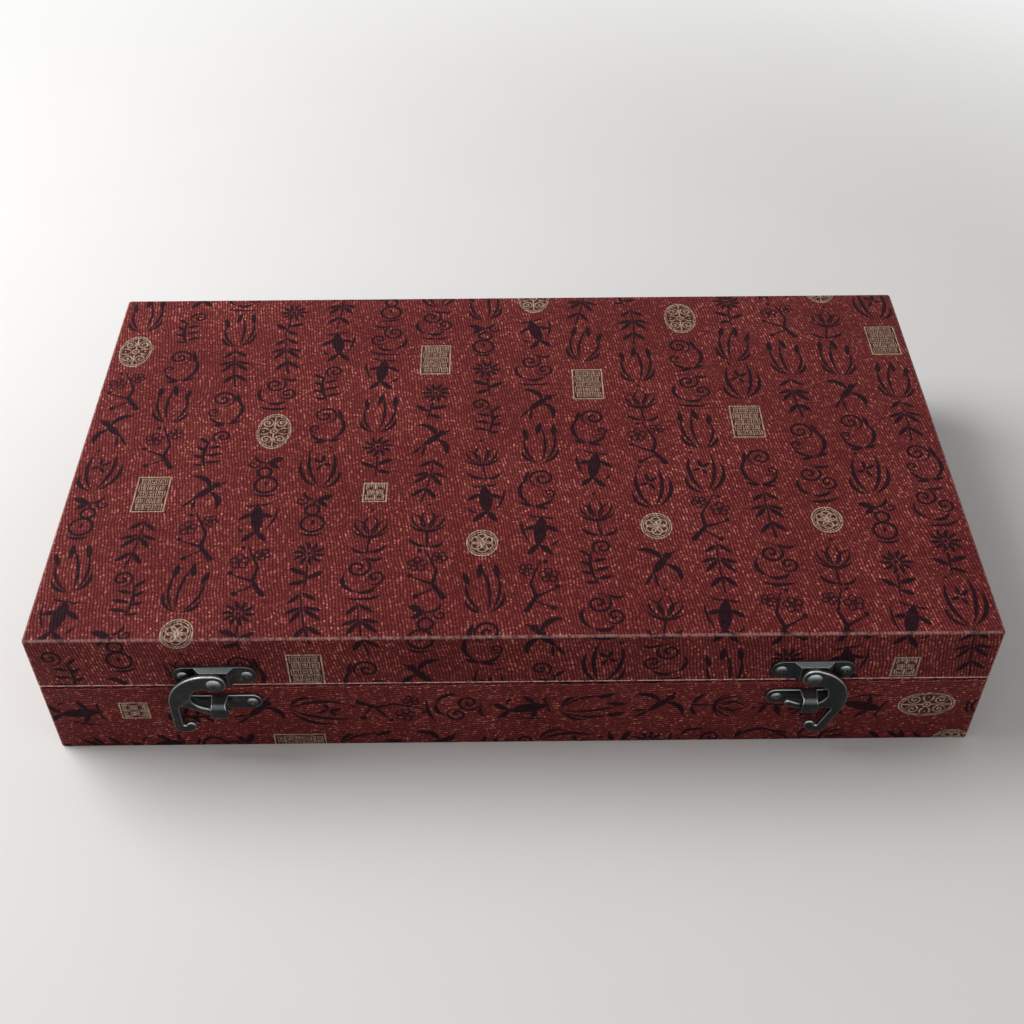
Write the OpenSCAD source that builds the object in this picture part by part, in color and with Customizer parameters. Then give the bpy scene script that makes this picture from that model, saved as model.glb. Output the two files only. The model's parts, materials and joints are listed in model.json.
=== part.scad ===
/* [Box] */
// Outside width of the box
box_w = 368; // [352:1:460]
// Outside depth of the box, front to back
box_d = 214; // [206:1:270]
// Height of the lower half, floor to seam
base_h = 38; // [36:0.5:55]
// Height of the lid, seam to top
lid_h = 27.6; // [26:0.2:40]
// Gap between the two halves when shut
seam_gap = 0.4; // [0.2:0.1:1]
// Thickness of the side boards
board_t = 5; // [4.5:0.5:8]
// Thickness of the floor board
floor_t = 3.5; // [3:0.5:6]
// Thickness of the board in the top of the lid
lid_top_t = 4; // [3:0.5:6]
// Rounding of the outside corners
corner_r = 1.6; // [1.2:0.2:3]
/* [Cloth and lining] */
// Thickness of the brocade with its paper backing
cloth_t = 0.7; // [0.4:0.1:1]
// How far the brocade turns in over the rim
turn_in = 5; // [3:0.5:8]
// Thickness of the paper under the box
paper_t = 0.4; // [0.3:0.1:0.8]
// Thickness of the satin lining on its card
lining_t = 0.5; // [0.3:0.1:1]
// Thickness of the padded panel in the lid
pad_t = 4; // [2:0.5:6]
// Height of the soft bed under the tools
bed_h = 8; // [5:0.5:10]
// Height of the divider strips above the bed
strip_h = 15; // [12:0.5:16]
/* [Latches] */
// Distance from the middle of the box to each latch
latch_x = 114.4; // [90:0.2:140]
// Height of the rivet above the seam
rivet_up = 7.4; // [7:0.1:9]
// Width of each latch plate
plate_w = 32.4; // [30:0.2:38]
// Height of the plate on the lid
plate_h = 9.4; // [9:0.1:10]
// Height of the keeper plate on the base
keeper_h = 8; // [7.5:0.1:9]
// Thickness of the plate metal
plate_t = 1.2; // [0.8:0.1:1.5]
// How far the middle of the lid plate stands out
boss_out = 3.3; // [3:0.1:3.6]
// Thickness of the hook
hook_t = 1.8; // [1.4:0.1:2]
// Distance from the rivet to the middle of the prong
hook_reach = 17.05; // [17:0.05:18]
// Width of the prong
prong_w = 3.1; // [2.6:0.1:3.4]
// Radius of the hook around its rivet
eye_r = 4.6; // [4.2:0.1:5]
// Radius of the rivet shank
rivet_r = 1.2; // [1:0.1:1.5]
// Radius of the rivet head
rivet_head_r = 2.9; // [2.4:0.1:3.4]
// How far the keeper loop stands out
loop_out = 7.2; // [7:0.1:8]
// Width of the keeper loop
loop_w = 6.6; // [5:0.1:7]
// Turn of the right hook into its keeper, in degrees
right_turn = 22; // [0:1:22]
/* [Hinges] */
// Distance from the middle of the box to each hinge
hinge_x = 114.4; // [90:0.2:140]
// Length of each hinge barrel
hinge_w = 30; // [24:0.5:40]
// Height of each hinge leaf beyond its barrel
leaf_h = 11; // [10:0.5:14]
// Thickness of the leaf metal
leaf_t = 1; // [0.8:0.1:1.2]
// Radius of the barrel
barrel_r = 2; // [1.8:0.1:2.4]
// Radius of the hinge pin
pin_r = 1; // [0.8:0.05:1.2]
/* [Fasteners] */
// Radius of a screw head
screw_head_r = 2.2; // [1.8:0.1:2.5]
// Radius of a screw shank
screw_r = 1; // [0.8:0.05:1.2]
// Play of a turning pin in its hole
pin_fit = 0.05; // [0.03:0.01:0.1]
/* [Tools] */
// Play around each tool in its well
tool_fit = 1; // [0.5:0.1:2]
// Distance between two brushes
brush_pitch = 17; // [16:0.5:20]
// Length of the longest brush
brush_len = 260; // [240:1:264]
// Width of the inkstone
stone_w = 118; // [100:1:122]
// Length of the inkstone, which sets the depth of the back wells
stone_d = 112; // [106:1:116]
// Height of the inkstone
stone_h = 19; // [16:0.5:22]
// Width of an ink stick
ink_w = 24; // [20:0.5:28]
// Length of an ink stick
ink_d = 108; // [90:1:110]
// Thickness of an ink stick
ink_h = 12; // [10:0.5:15]
// Thickness of the brush rest
rest_w = 20; // [16:0.5:24]
// Length of the brush rest
rest_d = 106; // [90:1:110]
// Height of the brush rest
rest_h = 30; // [24:0.5:34]
// Radius of the water dish
dish_r = 33; // [28:0.5:35]
// Height of the water dish
dish_h = 20; // [16:0.5:24]
// Length of the spoon
spoon_l = 62; // [50:1:66]
// Side of a seal stone
seal_w = 29; // [22:0.5:32]
// Length of a seal stone
seal_l = 47; // [40:0.5:50]
// Radius of the seal paste dish
paste_r = 33; // [28:0.5:34]
// Height of the seal paste dish without its lid
paste_h = 16; // [14:0.5:20]
/* [Hidden] */
$fn = 48;
eps = 0.01;
cloth_color = "#7c1d1f";
satin_color = "#c8982f";
board_color = "#b08a5e";
metal_color = "#4d4a3c";
// Heights
lid_z = base_h + seam_gap;
top_z = lid_z + lid_h;
board_top = top_z - cloth_t;
seam_z = base_h + seam_gap / 2;
bed_top = paper_t + floor_t + bed_h;
strip_top = bed_top + strip_h;
pad_gap = 0.3;
// The inside of the cloth skin, and the clear room inside the lining
in_x = box_w / 2 - cloth_t;
in_y = box_d / 2 - cloth_t;
room_x = in_x - board_t - lining_t;
room_y = in_y - board_t - lining_t;
// Wells: one row of brushes in front, one row of columns behind
brush_count = 4;
well_x = [stone_w + 2 * tool_fit, 2 * ink_w + 3 * tool_fit, rest_w + 2 * tool_fit,
    2 * (dish_r + tool_fit), seal_w + 2 * tool_fit];
back_d = stone_d + 2 * tool_fit;
front_d = max(brush_count * brush_pitch, 2 * (paste_r + tool_fit));
brush_well = brush_len + 4 * tool_fit;
paste_well = 2 * (paste_r + tool_fit);
function total(v, n) = n == 0 ? 0 : v[n - 1] + total(v, n - 1);
strip_w = (2 * room_x - total(well_x, len(well_x))) / (len(well_x) - 1);
well_left = [for (i = [0:len(well_x) - 1]) -room_x + total(well_x, i) + i * strip_w];
well_mid = [for (i = [0:len(well_x) - 1]) well_left[i] + well_x[i] / 2];
back_y = room_y - back_d;
front_y = -room_y + front_d;
dish_y = room_y - dish_r - tool_fit;
dish_low = dish_y - dish_r - tool_fit;
spoon_d = 30;
seal_well = seal_l + 2 * tool_fit;
seal_ys = [room_y - seal_well / 2, back_y + seal_well / 2];
paste_x = room_x - paste_well / 2;
paste_y = -room_y + front_d / 2;
// Brushes: length, handle radius, ferrule radius, tuft length for each
brush_lens = [brush_len, brush_len - 12, brush_len - 22, brush_len - 36];
handle_rs = [5.2, 4.5, 4, 3.5];
ferrule_rs = [7, 6, 5.2, 4.4];
tuft_lens = [42, 36, 30, 26];
ferrule_len = 14;
ferrule_lap = 5;
brush_x = -room_x + 2 * tool_fit;
brush_seat = 0.05;
// Latch places
rivet_z = seam_z + rivet_up;
plate_z = rivet_z + 0.6;
loop_gap = 2.6;
loop_bend = 2.2;
loop_top = rivet_z - hook_reach + prong_w / 2 + loop_gap + plate_t;
loop_low = rivet_z - hook_reach - prong_w / 2;
keeper_z = loop_top - keeper_h / 2;
plate_screw_x = plate_w / 2 - plate_h / 2 + 0.7;
screw_head_h = 0.9;
screw_dome_r = 3.2;
slot_w = 0.5;
slot_l = 2.2;
slot_deep = 0.5;
hole_play = 0.02;
screw_in = 4.4;
hook_gap = 0.2;
hook_p = boss_out + hook_gap;
rivet_p = hook_p + hook_t + hook_gap / 2;
rivet_head_h = 1.3;
rivet_dome_r = 3.9;
boss_r = eye_r + 0.5;
boss_w = 15;
boss_top_w = 10.5;
boss_up = 3.7;
// Hinge places
axis_y = box_d / 2 + barrel_r + 0.2;
leaf_screw_x = hinge_w / 2 - 4.5;
leaf_screw_z = leaf_h - 4;
knuckle_gap = 0.3;
leaf_gap = 0.4;
pin_cap_r = 1.5;
pin_cap_h = 0.8;
module box_plan(grow, r) {
    square_x = 2 * (box_w / 2 + grow - r);
    square_y = 2 * (box_d / 2 + grow - r);
    square([square_x, square_y + 2 * r], center = true);
    square([square_x + 2 * r, square_y], center = true);
    for (x = [-1, 1], y = [-1, 1]) translate([x * square_x / 2, y * square_y / 2]) circle(r);
}
module slab(x0, x1, y0, y1, z0, z1) {
    translate([x0, y0, z0]) cube([x1 - x0, y1 - y0, z1 - z0]);
}
module ring(outer_x, outer_y, wall, z0, z1) {
    difference() {
        slab(-outer_x, outer_x, -outer_y, outer_y, z0, z1);
        slab(-outer_x + wall, outer_x - wall, -outer_y + wall, outer_y - wall, z0 - 1, z1 + 1);
    }
}
// Stands a flat shape against the front, p outwards from the cloth
module on_front(x, z, p) {
    translate([x, -box_d / 2 - p, z]) rotate([90, 0, 0]) children();
}
module on_back(x, z, p) {
    translate([x, box_d / 2 + p, z]) rotate([90, 0, 180]) children();
}
module at_latches() {
    for (side = [-1, 1]) translate([side * latch_x, 0, 0]) children();
}
module at_hinges() {
    for (side = [-1, 1]) translate([side * hinge_x, 0, 0]) children();
}
module screw(metal_t) {
    translate([0, 0, -screw_in]) cylinder(r = screw_r, h = screw_in + metal_t);
    difference() {
        translate([0, 0, metal_t]) intersection() {
            cylinder(r = screw_head_r, h = screw_head_h);
            translate([0, 0, screw_head_h - screw_dome_r]) sphere(screw_dome_r);
        }
        for (a = [0, 90]) rotate([0, 0, a]) {
            translate([-slot_l / 2, -slot_w / 2, metal_t + screw_head_h - slot_deep]) {
                cube([slot_l, slot_w, 1]);
            }
        }
    }
}
module screw_hole() {
    translate([0, 0, -screw_in - 0.1]) cylinder(r = screw_r + hole_play, h = screw_in + 2);
}
module latch_screws_at() {
    at_latches() for (x = [-1, 1]) on_front(x * plate_screw_x, plate_z, 0) children();
}
module keeper_screws_at() {
    at_latches() for (x = [-1, 1]) on_front(x * plate_screw_x, keeper_z, 0) children();
}
module hinge_screws_at(up) {
    at_hinges() for (x = [-1, 1]) {
        on_back(x * leaf_screw_x, seam_z + up * leaf_screw_z, 0) children();
    }
}
// Boards of the lower half
module base_holes() {
    keeper_screws_at() screw_hole();
    hinge_screws_at(-1) screw_hole();
}
module base_floor_board() {
    color(board_color) slab(-in_x + board_t, in_x - board_t, -in_y + board_t, in_y - board_t,
        paper_t, paper_t + floor_t);
}
module long_board(side, z0, z1) {
    y0 = side > 0 ? in_y - board_t : -in_y;
    slab(-in_x, in_x, y0, y0 + board_t, z0, z1);
}
module short_board(side, z0, z1) {
    x0 = side > 0 ? in_x - board_t : -in_x;
    slab(x0, x0 + board_t, -in_y + board_t, in_y - board_t, z0, z1);
}
module base_front_board() {
    color(board_color) difference() {
        long_board(-1, paper_t, base_h - cloth_t);
        base_holes();
    }
}
module base_back_board() {
    color(board_color) difference() {
        long_board(1, paper_t, base_h - cloth_t);
        base_holes();
    }
}
module base_left_board() {
    color(board_color) short_board(-1, paper_t, base_h - cloth_t);
}
module base_right_board() {
    color(board_color) short_board(1, paper_t, base_h - cloth_t);
}
module base_underside_paper() {
    color("#5a3a2c") slab(-in_x + 2, in_x - 2, -in_y + 2, in_y - 2, 0, paper_t);
}
module base_brocade() {
    color(cloth_color) difference() {
        translate([0, 0, paper_t]) linear_extrude(base_h - paper_t) box_plan(0, corner_r);
        slab(-in_x, in_x, -in_y, in_y, paper_t - 1, base_h - cloth_t);
        slab(-room_x, room_x, -room_y, room_y, 0, base_h + 1);
        base_holes();
    }
    color(cloth_color) ring(room_x + lining_t, room_y + lining_t, lining_t,
        base_h - cloth_t - turn_in, base_h - cloth_t);
}
module base_lining() {
    color(satin_color) ring(room_x + lining_t, room_y + lining_t, lining_t,
        paper_t + floor_t, base_h - cloth_t - turn_in);
}
// The soft bed and the strips that make the wells
module strip(x0, x1, y0, y1) {
    color(satin_color) slab(x0, x1, y0, y1, bed_top, strip_top);
}
module column_strip(i) {
    strip(well_left[i] + well_x[i], well_left[i + 1], back_y, room_y);
}
module insert_bed() {
    color(satin_color) slab(-room_x, room_x, -room_y, room_y, paper_t + floor_t, bed_top);
}
module insert_middle_strip() {
    strip(-room_x, room_x, front_y, back_y);
}
module insert_brush_end_strip() {
    strip(-room_x + brush_well, room_x - paste_well, -room_y, front_y);
}
module insert_inkstone_strip() {
    column_strip(0);
}
module insert_ink_stick_strip() {
    column_strip(1);
}
module insert_brush_rest_strip() {
    column_strip(2);
}
module insert_seal_strip() {
    column_strip(3);
}
module insert_spoon_strip() {
    strip(well_left[3], well_left[3] + well_x[3], back_y + spoon_d, dish_low);
}
module insert_seal_cross_strip() {
    strip(well_left[4], well_left[4] + well_x[4], seal_ys[1] + seal_well / 2,
        seal_ys[0] - seal_well / 2);
}
// Brushes lie with their tips to the left, on the ferrule and on the end of the handle
module at_brush(i) {
    y = -room_y + front_d / 2 + (i - (brush_count - 1) / 2) * brush_pitch;
    tilt = asin((ferrule_rs[i] - handle_rs[i]) / (brush_lens[i] - tuft_lens[i]));
    translate([brush_x + tuft_lens[i], y, bed_top + ferrule_rs[i] + brush_seat]) {
        rotate([0, 90 + tilt, 0]) translate([0, 0, -tuft_lens[i]]) children();
    }
}
module brush_handle(i) {
    start = tuft_lens[i] + ferrule_len - ferrule_lap;
    color("#b58e4c") at_brush(i) {
        translate([0, 0, start]) cylinder(r = handle_rs[i] - 1.2, h = ferrule_lap);
        translate([0, 0, start + ferrule_lap]) {
            cylinder(r = handle_rs[i], h = brush_lens[i] - tuft_lens[i] - ferrule_len);
        }
    }
}
module brush_tuft(i) {
    len = tuft_lens[i];
    r = ferrule_rs[i] - 1.2;
    color("#e6dabd") at_brush(i) rotate_extrude() polygon([[0, 0], [r * 0.3, len * 0.14],
        [r * 0.72, len * 0.38], [r * 0.97, len * 0.68], [r, len * 0.85], [r * 0.9, len],
        [r * 0.9, len + 4], [0, len + 4]]);
}
module brush_ferrules() {
    color("#2a1b12") for (i = [0:brush_count - 1]) at_brush(i) {
        len = tuft_lens[i];
        difference() {
            translate([0, 0, len]) rotate_extrude() polygon([[0, 0], [ferrule_rs[i] - 0.5, 0],
                [ferrule_rs[i], 1], [ferrule_rs[i] - 0.6, ferrule_len * 0.7],
                [handle_rs[i] + 0.1, ferrule_len], [0, ferrule_len]]);
            translate([0, 0, len - 1]) cylinder(r = (ferrule_rs[i] - 1.2) * 0.9 + 0.02, h = 5.02);
            translate([0, 0, len + ferrule_len - ferrule_lap]) {
                cylinder(r = handle_rs[i] - 1.18, h = ferrule_lap + 1);
            }
        }
    }
}
module brush_1_handle() { brush_handle(0); }
module brush_2_handle() { brush_handle(1); }
module brush_3_handle() { brush_handle(2); }
module brush_4_handle() { brush_handle(3); }
module brush_1_tuft() { brush_tuft(0); }
module brush_2_tuft() { brush_tuft(1); }
module brush_3_tuft() { brush_tuft(2); }
module brush_4_tuft() { brush_tuft(3); }
// Inkstone: a flat grinding floor with a deep ink pool at the back
stone_rim = 9;
pool_d = 26;
pool_deep = 11;
grind_deep = 3;
module inkstone() {
    y1 = room_y - tool_fit;
    y0 = y1 - stone_d;
    x0 = well_mid[0] - stone_w / 2;
    color("#2b2b2e") translate([x0, y0, bed_top]) difference() {
        linear_extrude(stone_h) {
            translate([4, 0]) square([stone_w - 8, stone_d]);
            translate([0, 4]) square([stone_w, stone_d - 8]);
            for (x = [4, stone_w - 4], y = [4, stone_d - 4]) translate([x, y]) circle(4);
        }
        translate([stone_rim, stone_rim, stone_h - grind_deep]) {
            cube([stone_w - 2 * stone_rim, stone_d - 2 * stone_rim, stone_h]);
        }
        translate([stone_rim, stone_d - stone_rim - pool_d, stone_h - pool_deep]) {
            cube([stone_w - 2 * stone_rim, pool_d, stone_h]);
        }
    }
}
module ink_sticks() {
    color("#1c1b1d") for (side = [-1, 1]) {
        translate([well_mid[1] + side * (ink_w + tool_fit) / 2, back_y + back_d / 2, bed_top]) {
            translate([-ink_w / 2, -ink_d / 2 + 3, 0]) cube([ink_w, ink_d - 6, ink_h]);
            translate([-ink_w / 2 + 3, -ink_d / 2, 0]) cube([ink_w - 6, ink_d, ink_h]);
        }
    }
}
// Brush rest: five peaks in a row with four round valleys between them
peak_hs = [0.72, 0.88, 1, 0.86, 0.7];
valley_h = 0.38;
peak_steps = 12;
function ridge(i, u) =
    rest_h * (valley_h + (peak_hs[i] - valley_h) * (0.5 - 0.5 * cos(360 * u)));
module brush_rest() {
    peak_w = (rest_d - 6) / len(peak_hs);
    color("#e9eef0") translate([well_mid[2] - rest_w / 2, back_y + back_d / 2, bed_top]) {
        rotate([90, 0, 90]) {
            linear_extrude(rest_w) translate([-rest_d / 2, 0]) square([rest_d, 4]);
            translate([0, 0, 2]) linear_extrude(rest_w - 4) polygon(concat(
                [[rest_d / 2 - 3, 4 - eps], [-rest_d / 2 + 3, 4 - eps]],
                [for (i = [0:len(peak_hs) - 1], k = [0:peak_steps - 1])
                    [-rest_d / 2 + 3 + (i + k / peak_steps) * peak_w, ridge(i, k / peak_steps)]],
                [[rest_d / 2 - 3, ridge(0, 0)]]));
        }
    }
}
module water_dish() {
    wall = 2.6;
    color("#eef2f3") translate([well_mid[3], dish_y, bed_top]) rotate_extrude($fn = 72) polygon(
        [[0, 0], [dish_r * 0.55, 0], [dish_r * 0.55, 1.6], [dish_r * 0.86, 6], [dish_r, dish_h],
        [dish_r - wall, dish_h], [dish_r * 0.86 - wall, 7.5], [dish_r * 0.5, 4.4], [0, 4.4]]);
}
module spoon() {
    bowl_r = 10;
    handle_w = 5;
    x0 = well_mid[3] - spoon_l / 2;
    color("#eef2f3") translate([x0 + bowl_r, back_y + spoon_d / 2, bed_top]) {
        rotate_extrude() polygon([[0, 0], [bowl_r * 0.5, 0], [bowl_r * 0.9, 3], [bowl_r, 7],
            [bowl_r - 1.6, 7], [bowl_r * 0.8 - 0.6, 3.8], [bowl_r * 0.4, 1.8], [0, 1.8]]);
        translate([bowl_r - 1, -handle_w / 2, 4]) cube([spoon_l - 2 * bowl_r - 1.5, handle_w, 2.6]);
        translate([spoon_l - bowl_r - 4, 0, 4]) cylinder(r = 3.8, h = 2.6);
        translate([spoon_l - bowl_r - 4, 0, 0]) cylinder(r = 1.6, h = 4);
    }
}
module seal_stones() {
    color("#8d3a2e") for (y = seal_ys) {
        translate([well_mid[4] - seal_w / 2, y - seal_l / 2, bed_top]) {
            cube([seal_w, seal_l * 0.72, seal_w]);
            translate([3, 0, 3]) cube([seal_w - 6, seal_l, seal_w - 6]);
        }
    }
}
// Seal paste in a lidded porcelain dish
paste_wall = 3.5;
module seal_paste_dish() {
    color("#eef2f3") translate([paste_x, paste_y, bed_top]) rotate_extrude($fn = 72) polygon(
        [[0, 0], [paste_r - 6, 0], [paste_r - 6, 1.5], [paste_r, 4], [paste_r, paste_h - 2.5],
        [paste_r - 2, paste_h - 2.5], [paste_r - 2, paste_h], [paste_r - 2 - paste_wall, paste_h],
        [paste_r - 2 - paste_wall, 3.5], [0, 3.5]]);
}
module seal_paste_lid() {
    low = paste_h - 2.4;
    color("#eef2f3") translate([paste_x, paste_y, bed_top]) rotate_extrude($fn = 72) polygon(
        [[0, paste_h + 0.2], [paste_r - 1.9, paste_h + 0.2], [paste_r - 1.9, low], [paste_r, low],
        [paste_r, paste_h + 3.5], [paste_r - 4, paste_h + 6.5], [paste_r * 0.6, paste_h + 8.4],
        [0, paste_h + 9]]);
}
module seal_paste() {
    color("#b3261e") translate([paste_x, paste_y, bed_top + 3.5]) {
        cylinder(r = paste_r - 2 - paste_wall, h = paste_h - 3.5 - 1.5);
    }
}
// Latch plates, keepers and hooks
module plate_shape(h) {
    for (x = [-1, 1]) translate([x * (plate_w - h) / 2, 0]) circle(h / 2);
    square([plate_w - h, h], center = true);
}
module latch_plate() {
    difference() {
        union() {
            on_front(0, plate_z, 0) linear_extrude(plate_t) plate_shape(plate_h);
            on_front(0, plate_z, 0) hull() {
                linear_extrude(plate_t) square([boss_w, plate_h - 0.4], center = true);
                linear_extrude(boss_out) square([boss_top_w, plate_h - 1.6], center = true);
            }
            intersection() {
                on_front(0, rivet_z, 0) cylinder(r = boss_r, h = boss_out);
                on_front(0, rivet_z, 0) translate([-boss_r, -boss_r, 0]) {
                    cube([2 * boss_r, boss_r + boss_up, boss_out]);
                }
            }
        }
        on_front(0, rivet_z, -1) cylinder(r = rivet_r + hole_play, h = boss_out + 2);
        for (x = [-1, 1]) on_front(x * plate_screw_x, plate_z, 0) screw_hole();
    }
}
module left_latch_plate() {
    color(metal_color) translate([-latch_x, 0, 0]) latch_plate();
}
module right_latch_plate() {
    color(metal_color) translate([latch_x, 0, 0]) latch_plate();
}
function arc(c, r, a0, a1, n) =
    [for (i = [0:n]) c + r * [cos(a0 + (a1 - a0) * i / n), sin(a0 + (a1 - a0) * i / n)]];
module keeper() {
    drop = loop_top - loop_low;
    outer = arc([loop_out - loop_bend, -loop_bend], loop_bend, 90, 0, 6);
    inner = arc([loop_out - loop_bend, -loop_bend], loop_bend - plate_t, 0, 90, 6);
    difference() {
        on_front(0, keeper_z, 0) linear_extrude(plate_t) plate_shape(keeper_h);
        for (x = [-1, 1]) on_front(x * plate_screw_x, keeper_z, 0) screw_hole();
    }
    translate([-loop_w / 2, -box_d / 2, loop_top]) mirror([0, 1, 0]) rotate([90, 0, 90]) {
        linear_extrude(loop_w) polygon(concat([[0, -plate_t], [0, 0]], outer,
            [[loop_out, -drop], [loop_out - plate_t, -drop]], inner));
    }
}
module left_keeper() {
    color(metal_color) translate([-latch_x, 0, 0]) keeper();
}
module right_keeper() {
    color(metal_color) translate([latch_x, 0, 0]) keeper();
}
// Outline of the left hook, with the rivet at its origin
horn_r = 17;
horn_shift = 2.2;
tail_drop = 24.8;
foot_r = 4.2;
tail_w = 3;
tail_top_w = 3.7;
notch_r = 1.35;
notch_drop = 15;
void_r = 5.6;
prong_heel = 235;
prong_root = 243;
prong_tip = 277;
module hook_outline() {
    tail_x = -horn_shift - horn_r;
    foot_c = [tail_x + foot_r, -tail_drop];
    toe_end = 335;
    toe_r = foot_r - tail_w / 2;
    out_r = hook_reach + prong_w / 2;
    in_r = hook_reach - prong_w / 2;
    void_c = (in_r - void_r) * [cos(prong_root), sin(prong_root)];
    difference() {
        union() {
            circle(eye_r);
            polygon(concat(
                arc([-horn_shift, eye_r - horn_r], horn_r, 82, 180, 20),
                arc(foot_c, foot_r, 180, toe_end, 12),
                arc(foot_c + toe_r * [cos(toe_end), sin(toe_end)], tail_w / 2, -25, 155, 8),
                arc(foot_c, foot_r - tail_w, toe_end, 180, 8),
                arc([tail_x + tail_top_w + notch_r, -notch_drop], notch_r, 180, 45, 8),
                arc([0, 0], out_r, prong_heel, prong_tip, 12),
                arc(hook_reach * [cos(prong_tip), sin(prong_tip)], prong_w / 2, -83, 97, 8),
                arc([0, 0], in_r, prong_tip, prong_root, 10),
                arc(void_c, void_r, prong_root, 90, 12),
                [[0, -eye_r]]));
        }
        circle(rivet_r + pin_fit);
    }
}
module left_hook() {
    color(metal_color) on_front(-latch_x, rivet_z, hook_p) linear_extrude(hook_t) hook_outline();
}
module right_hook() {
    color(metal_color) on_front(latch_x, rivet_z, hook_p) linear_extrude(hook_t) {
        mirror([1, 0]) rotate(right_turn) hook_outline();
    }
}
module latch_rivets() {
    color(metal_color) at_latches() on_front(0, rivet_z, 0) {
        translate([0, 0, 0.1]) cylinder(r = rivet_r, h = rivet_p - 0.1);
        translate([0, 0, rivet_p]) intersection() {
            cylinder(r = rivet_head_r, h = rivet_head_h);
            translate([0, 0, rivet_head_h - rivet_dome_r]) sphere(rivet_dome_r, $fn = 64);
        }
    }
}
module latch_screws() {
    color(metal_color) latch_screws_at() screw(plate_t);
}
module keeper_screws() {
    color(metal_color) keeper_screws_at() screw(plate_t);
}
// Butt hinges on the back, base leaf with the outer knuckles
module knuckle(x0, x1) {
    translate([x0, axis_y, seam_z]) rotate([0, 90, 0]) cylinder(r = barrel_r, h = x1 - x0);
}
module leaf(up, spans) {
    reach = up * leaf_h;
    clear = up * (barrel_r + leaf_gap);
    difference() {
        union() {
            translate([-hinge_w / 2, box_d / 2, min(seam_z + clear, seam_z + reach)]) {
                cube([hinge_w, leaf_t, leaf_h - barrel_r - leaf_gap]);
            }
            for (s = spans) {
                knuckle(s[0], s[1]);
                translate([s[0], box_d / 2, min(seam_z, seam_z + clear + up * eps)]) {
                    cube([s[1] - s[0], leaf_t, barrel_r + leaf_gap + eps]);
                }
            }
        }
        translate([-hinge_w, axis_y, seam_z]) rotate([0, 90, 0]) {
            cylinder(r = pin_r + pin_fit, h = 2 * hinge_w);
        }
        for (x = [-1, 1]) on_back(x * leaf_screw_x, seam_z + up * leaf_screw_z, 0) screw_hole();
    }
}
third = hinge_w / 3;
outer_spans = [[-hinge_w / 2, -third / 2], [third / 2, hinge_w / 2]];
inner_spans = [[-third / 2 + knuckle_gap, third / 2 - knuckle_gap]];
module base_hinge_leaves() {
    color(metal_color) at_hinges() leaf(-1, outer_spans);
}
module lid_hinge_leaves() {
    color(metal_color) at_hinges() leaf(1, inner_spans);
}
module hinge_pins() {
    color(metal_color) at_hinges() {
        translate([-hinge_w / 2, axis_y, seam_z]) rotate([0, 90, 0]) cylinder(r = pin_r, h = hinge_w);
        for (s = [-1, 1]) translate([s * (hinge_w + pin_cap_h) / 2, axis_y, seam_z]) {
            rotate([0, 90, 0]) cylinder(r = pin_cap_r, h = pin_cap_h, center = true);
        }
    }
}
module base_hinge_screws() {
    color(metal_color) hinge_screws_at(-1) screw(leaf_t);
}
module lid_hinge_screws() {
    color(metal_color) hinge_screws_at(1) screw(leaf_t);
}
// Lid boards, cloth, lining and pad
module lid_holes() {
    latch_screws_at() screw_hole();
    hinge_screws_at(1) screw_hole();
}
module lid_top_board() {
    color(board_color) slab(-in_x + board_t, in_x - board_t, -in_y + board_t, in_y - board_t,
        board_top - lid_top_t, board_top);
}
module lid_front_board() {
    color(board_color) difference() {
        long_board(-1, lid_z + cloth_t, board_top);
        lid_holes();
    }
}
module lid_back_board() {
    color(board_color) difference() {
        long_board(1, lid_z + cloth_t, board_top);
        lid_holes();
    }
}
module lid_left_board() {
    color(board_color) short_board(-1, lid_z + cloth_t, board_top);
}
module lid_right_board() {
    color(board_color) short_board(1, lid_z + cloth_t, board_top);
}
module lid_shell() {
    corner_x = box_w / 2 - corner_r;
    corner_y = box_d / 2 - corner_r;
    hull() for (x = [-1, 1], y = [-1, 1]) translate([x * corner_x, y * corner_y, 0]) {
        translate([0, 0, lid_z]) cylinder(r = corner_r, h = 1, $fn = 32);
        translate([0, 0, top_z - corner_r]) sphere(corner_r, $fn = 32);
    }
}
module lid_brocade() {
    color(cloth_color) difference() {
        lid_shell();
        slab(-in_x, in_x, -in_y, in_y, lid_z + cloth_t, board_top);
        slab(-room_x, room_x, -room_y, room_y, lid_z - 1, lid_z + cloth_t + 1);
        lid_holes();
    }
    color(cloth_color) ring(room_x + lining_t, room_y + lining_t, lining_t, lid_z + cloth_t,
        lid_z + cloth_t + turn_in);
}
module lid_lining() {
    color(satin_color) ring(room_x + lining_t, room_y + lining_t, lining_t,
        lid_z + cloth_t + turn_in, board_top - lid_top_t);
}
module lid_pad() {
    color(satin_color) slab(-room_x + pad_gap, room_x - pad_gap, -room_y + pad_gap, room_y - pad_gap,
        board_top - lid_top_t - pad_t, board_top - lid_top_t);
}
base_floor_board();
base_front_board();
base_back_board();
base_left_board();
base_right_board();
base_brocade();
base_underside_paper();
base_lining();
insert_bed();
insert_middle_strip();
insert_brush_end_strip();
insert_inkstone_strip();
insert_ink_stick_strip();
insert_brush_rest_strip();
insert_seal_strip();
insert_spoon_strip();
insert_seal_cross_strip();
brush_1_handle();
brush_2_handle();
brush_3_handle();
brush_4_handle();
brush_1_tuft();
brush_2_tuft();
brush_3_tuft();
brush_4_tuft();
brush_ferrules();
inkstone();
ink_sticks();
brush_rest();
water_dish();
spoon();
seal_stones();
seal_paste_dish();
seal_paste_lid();
seal_paste();
left_keeper();
right_keeper();
keeper_screws();
base_hinge_leaves();
hinge_pins();
base_hinge_screws();
lid_top_board();
lid_front_board();
lid_back_board();
lid_left_board();
lid_right_board();
lid_brocade();
lid_lining();
lid_pad();
left_latch_plate();
right_latch_plate();
latch_rivets();
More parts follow.
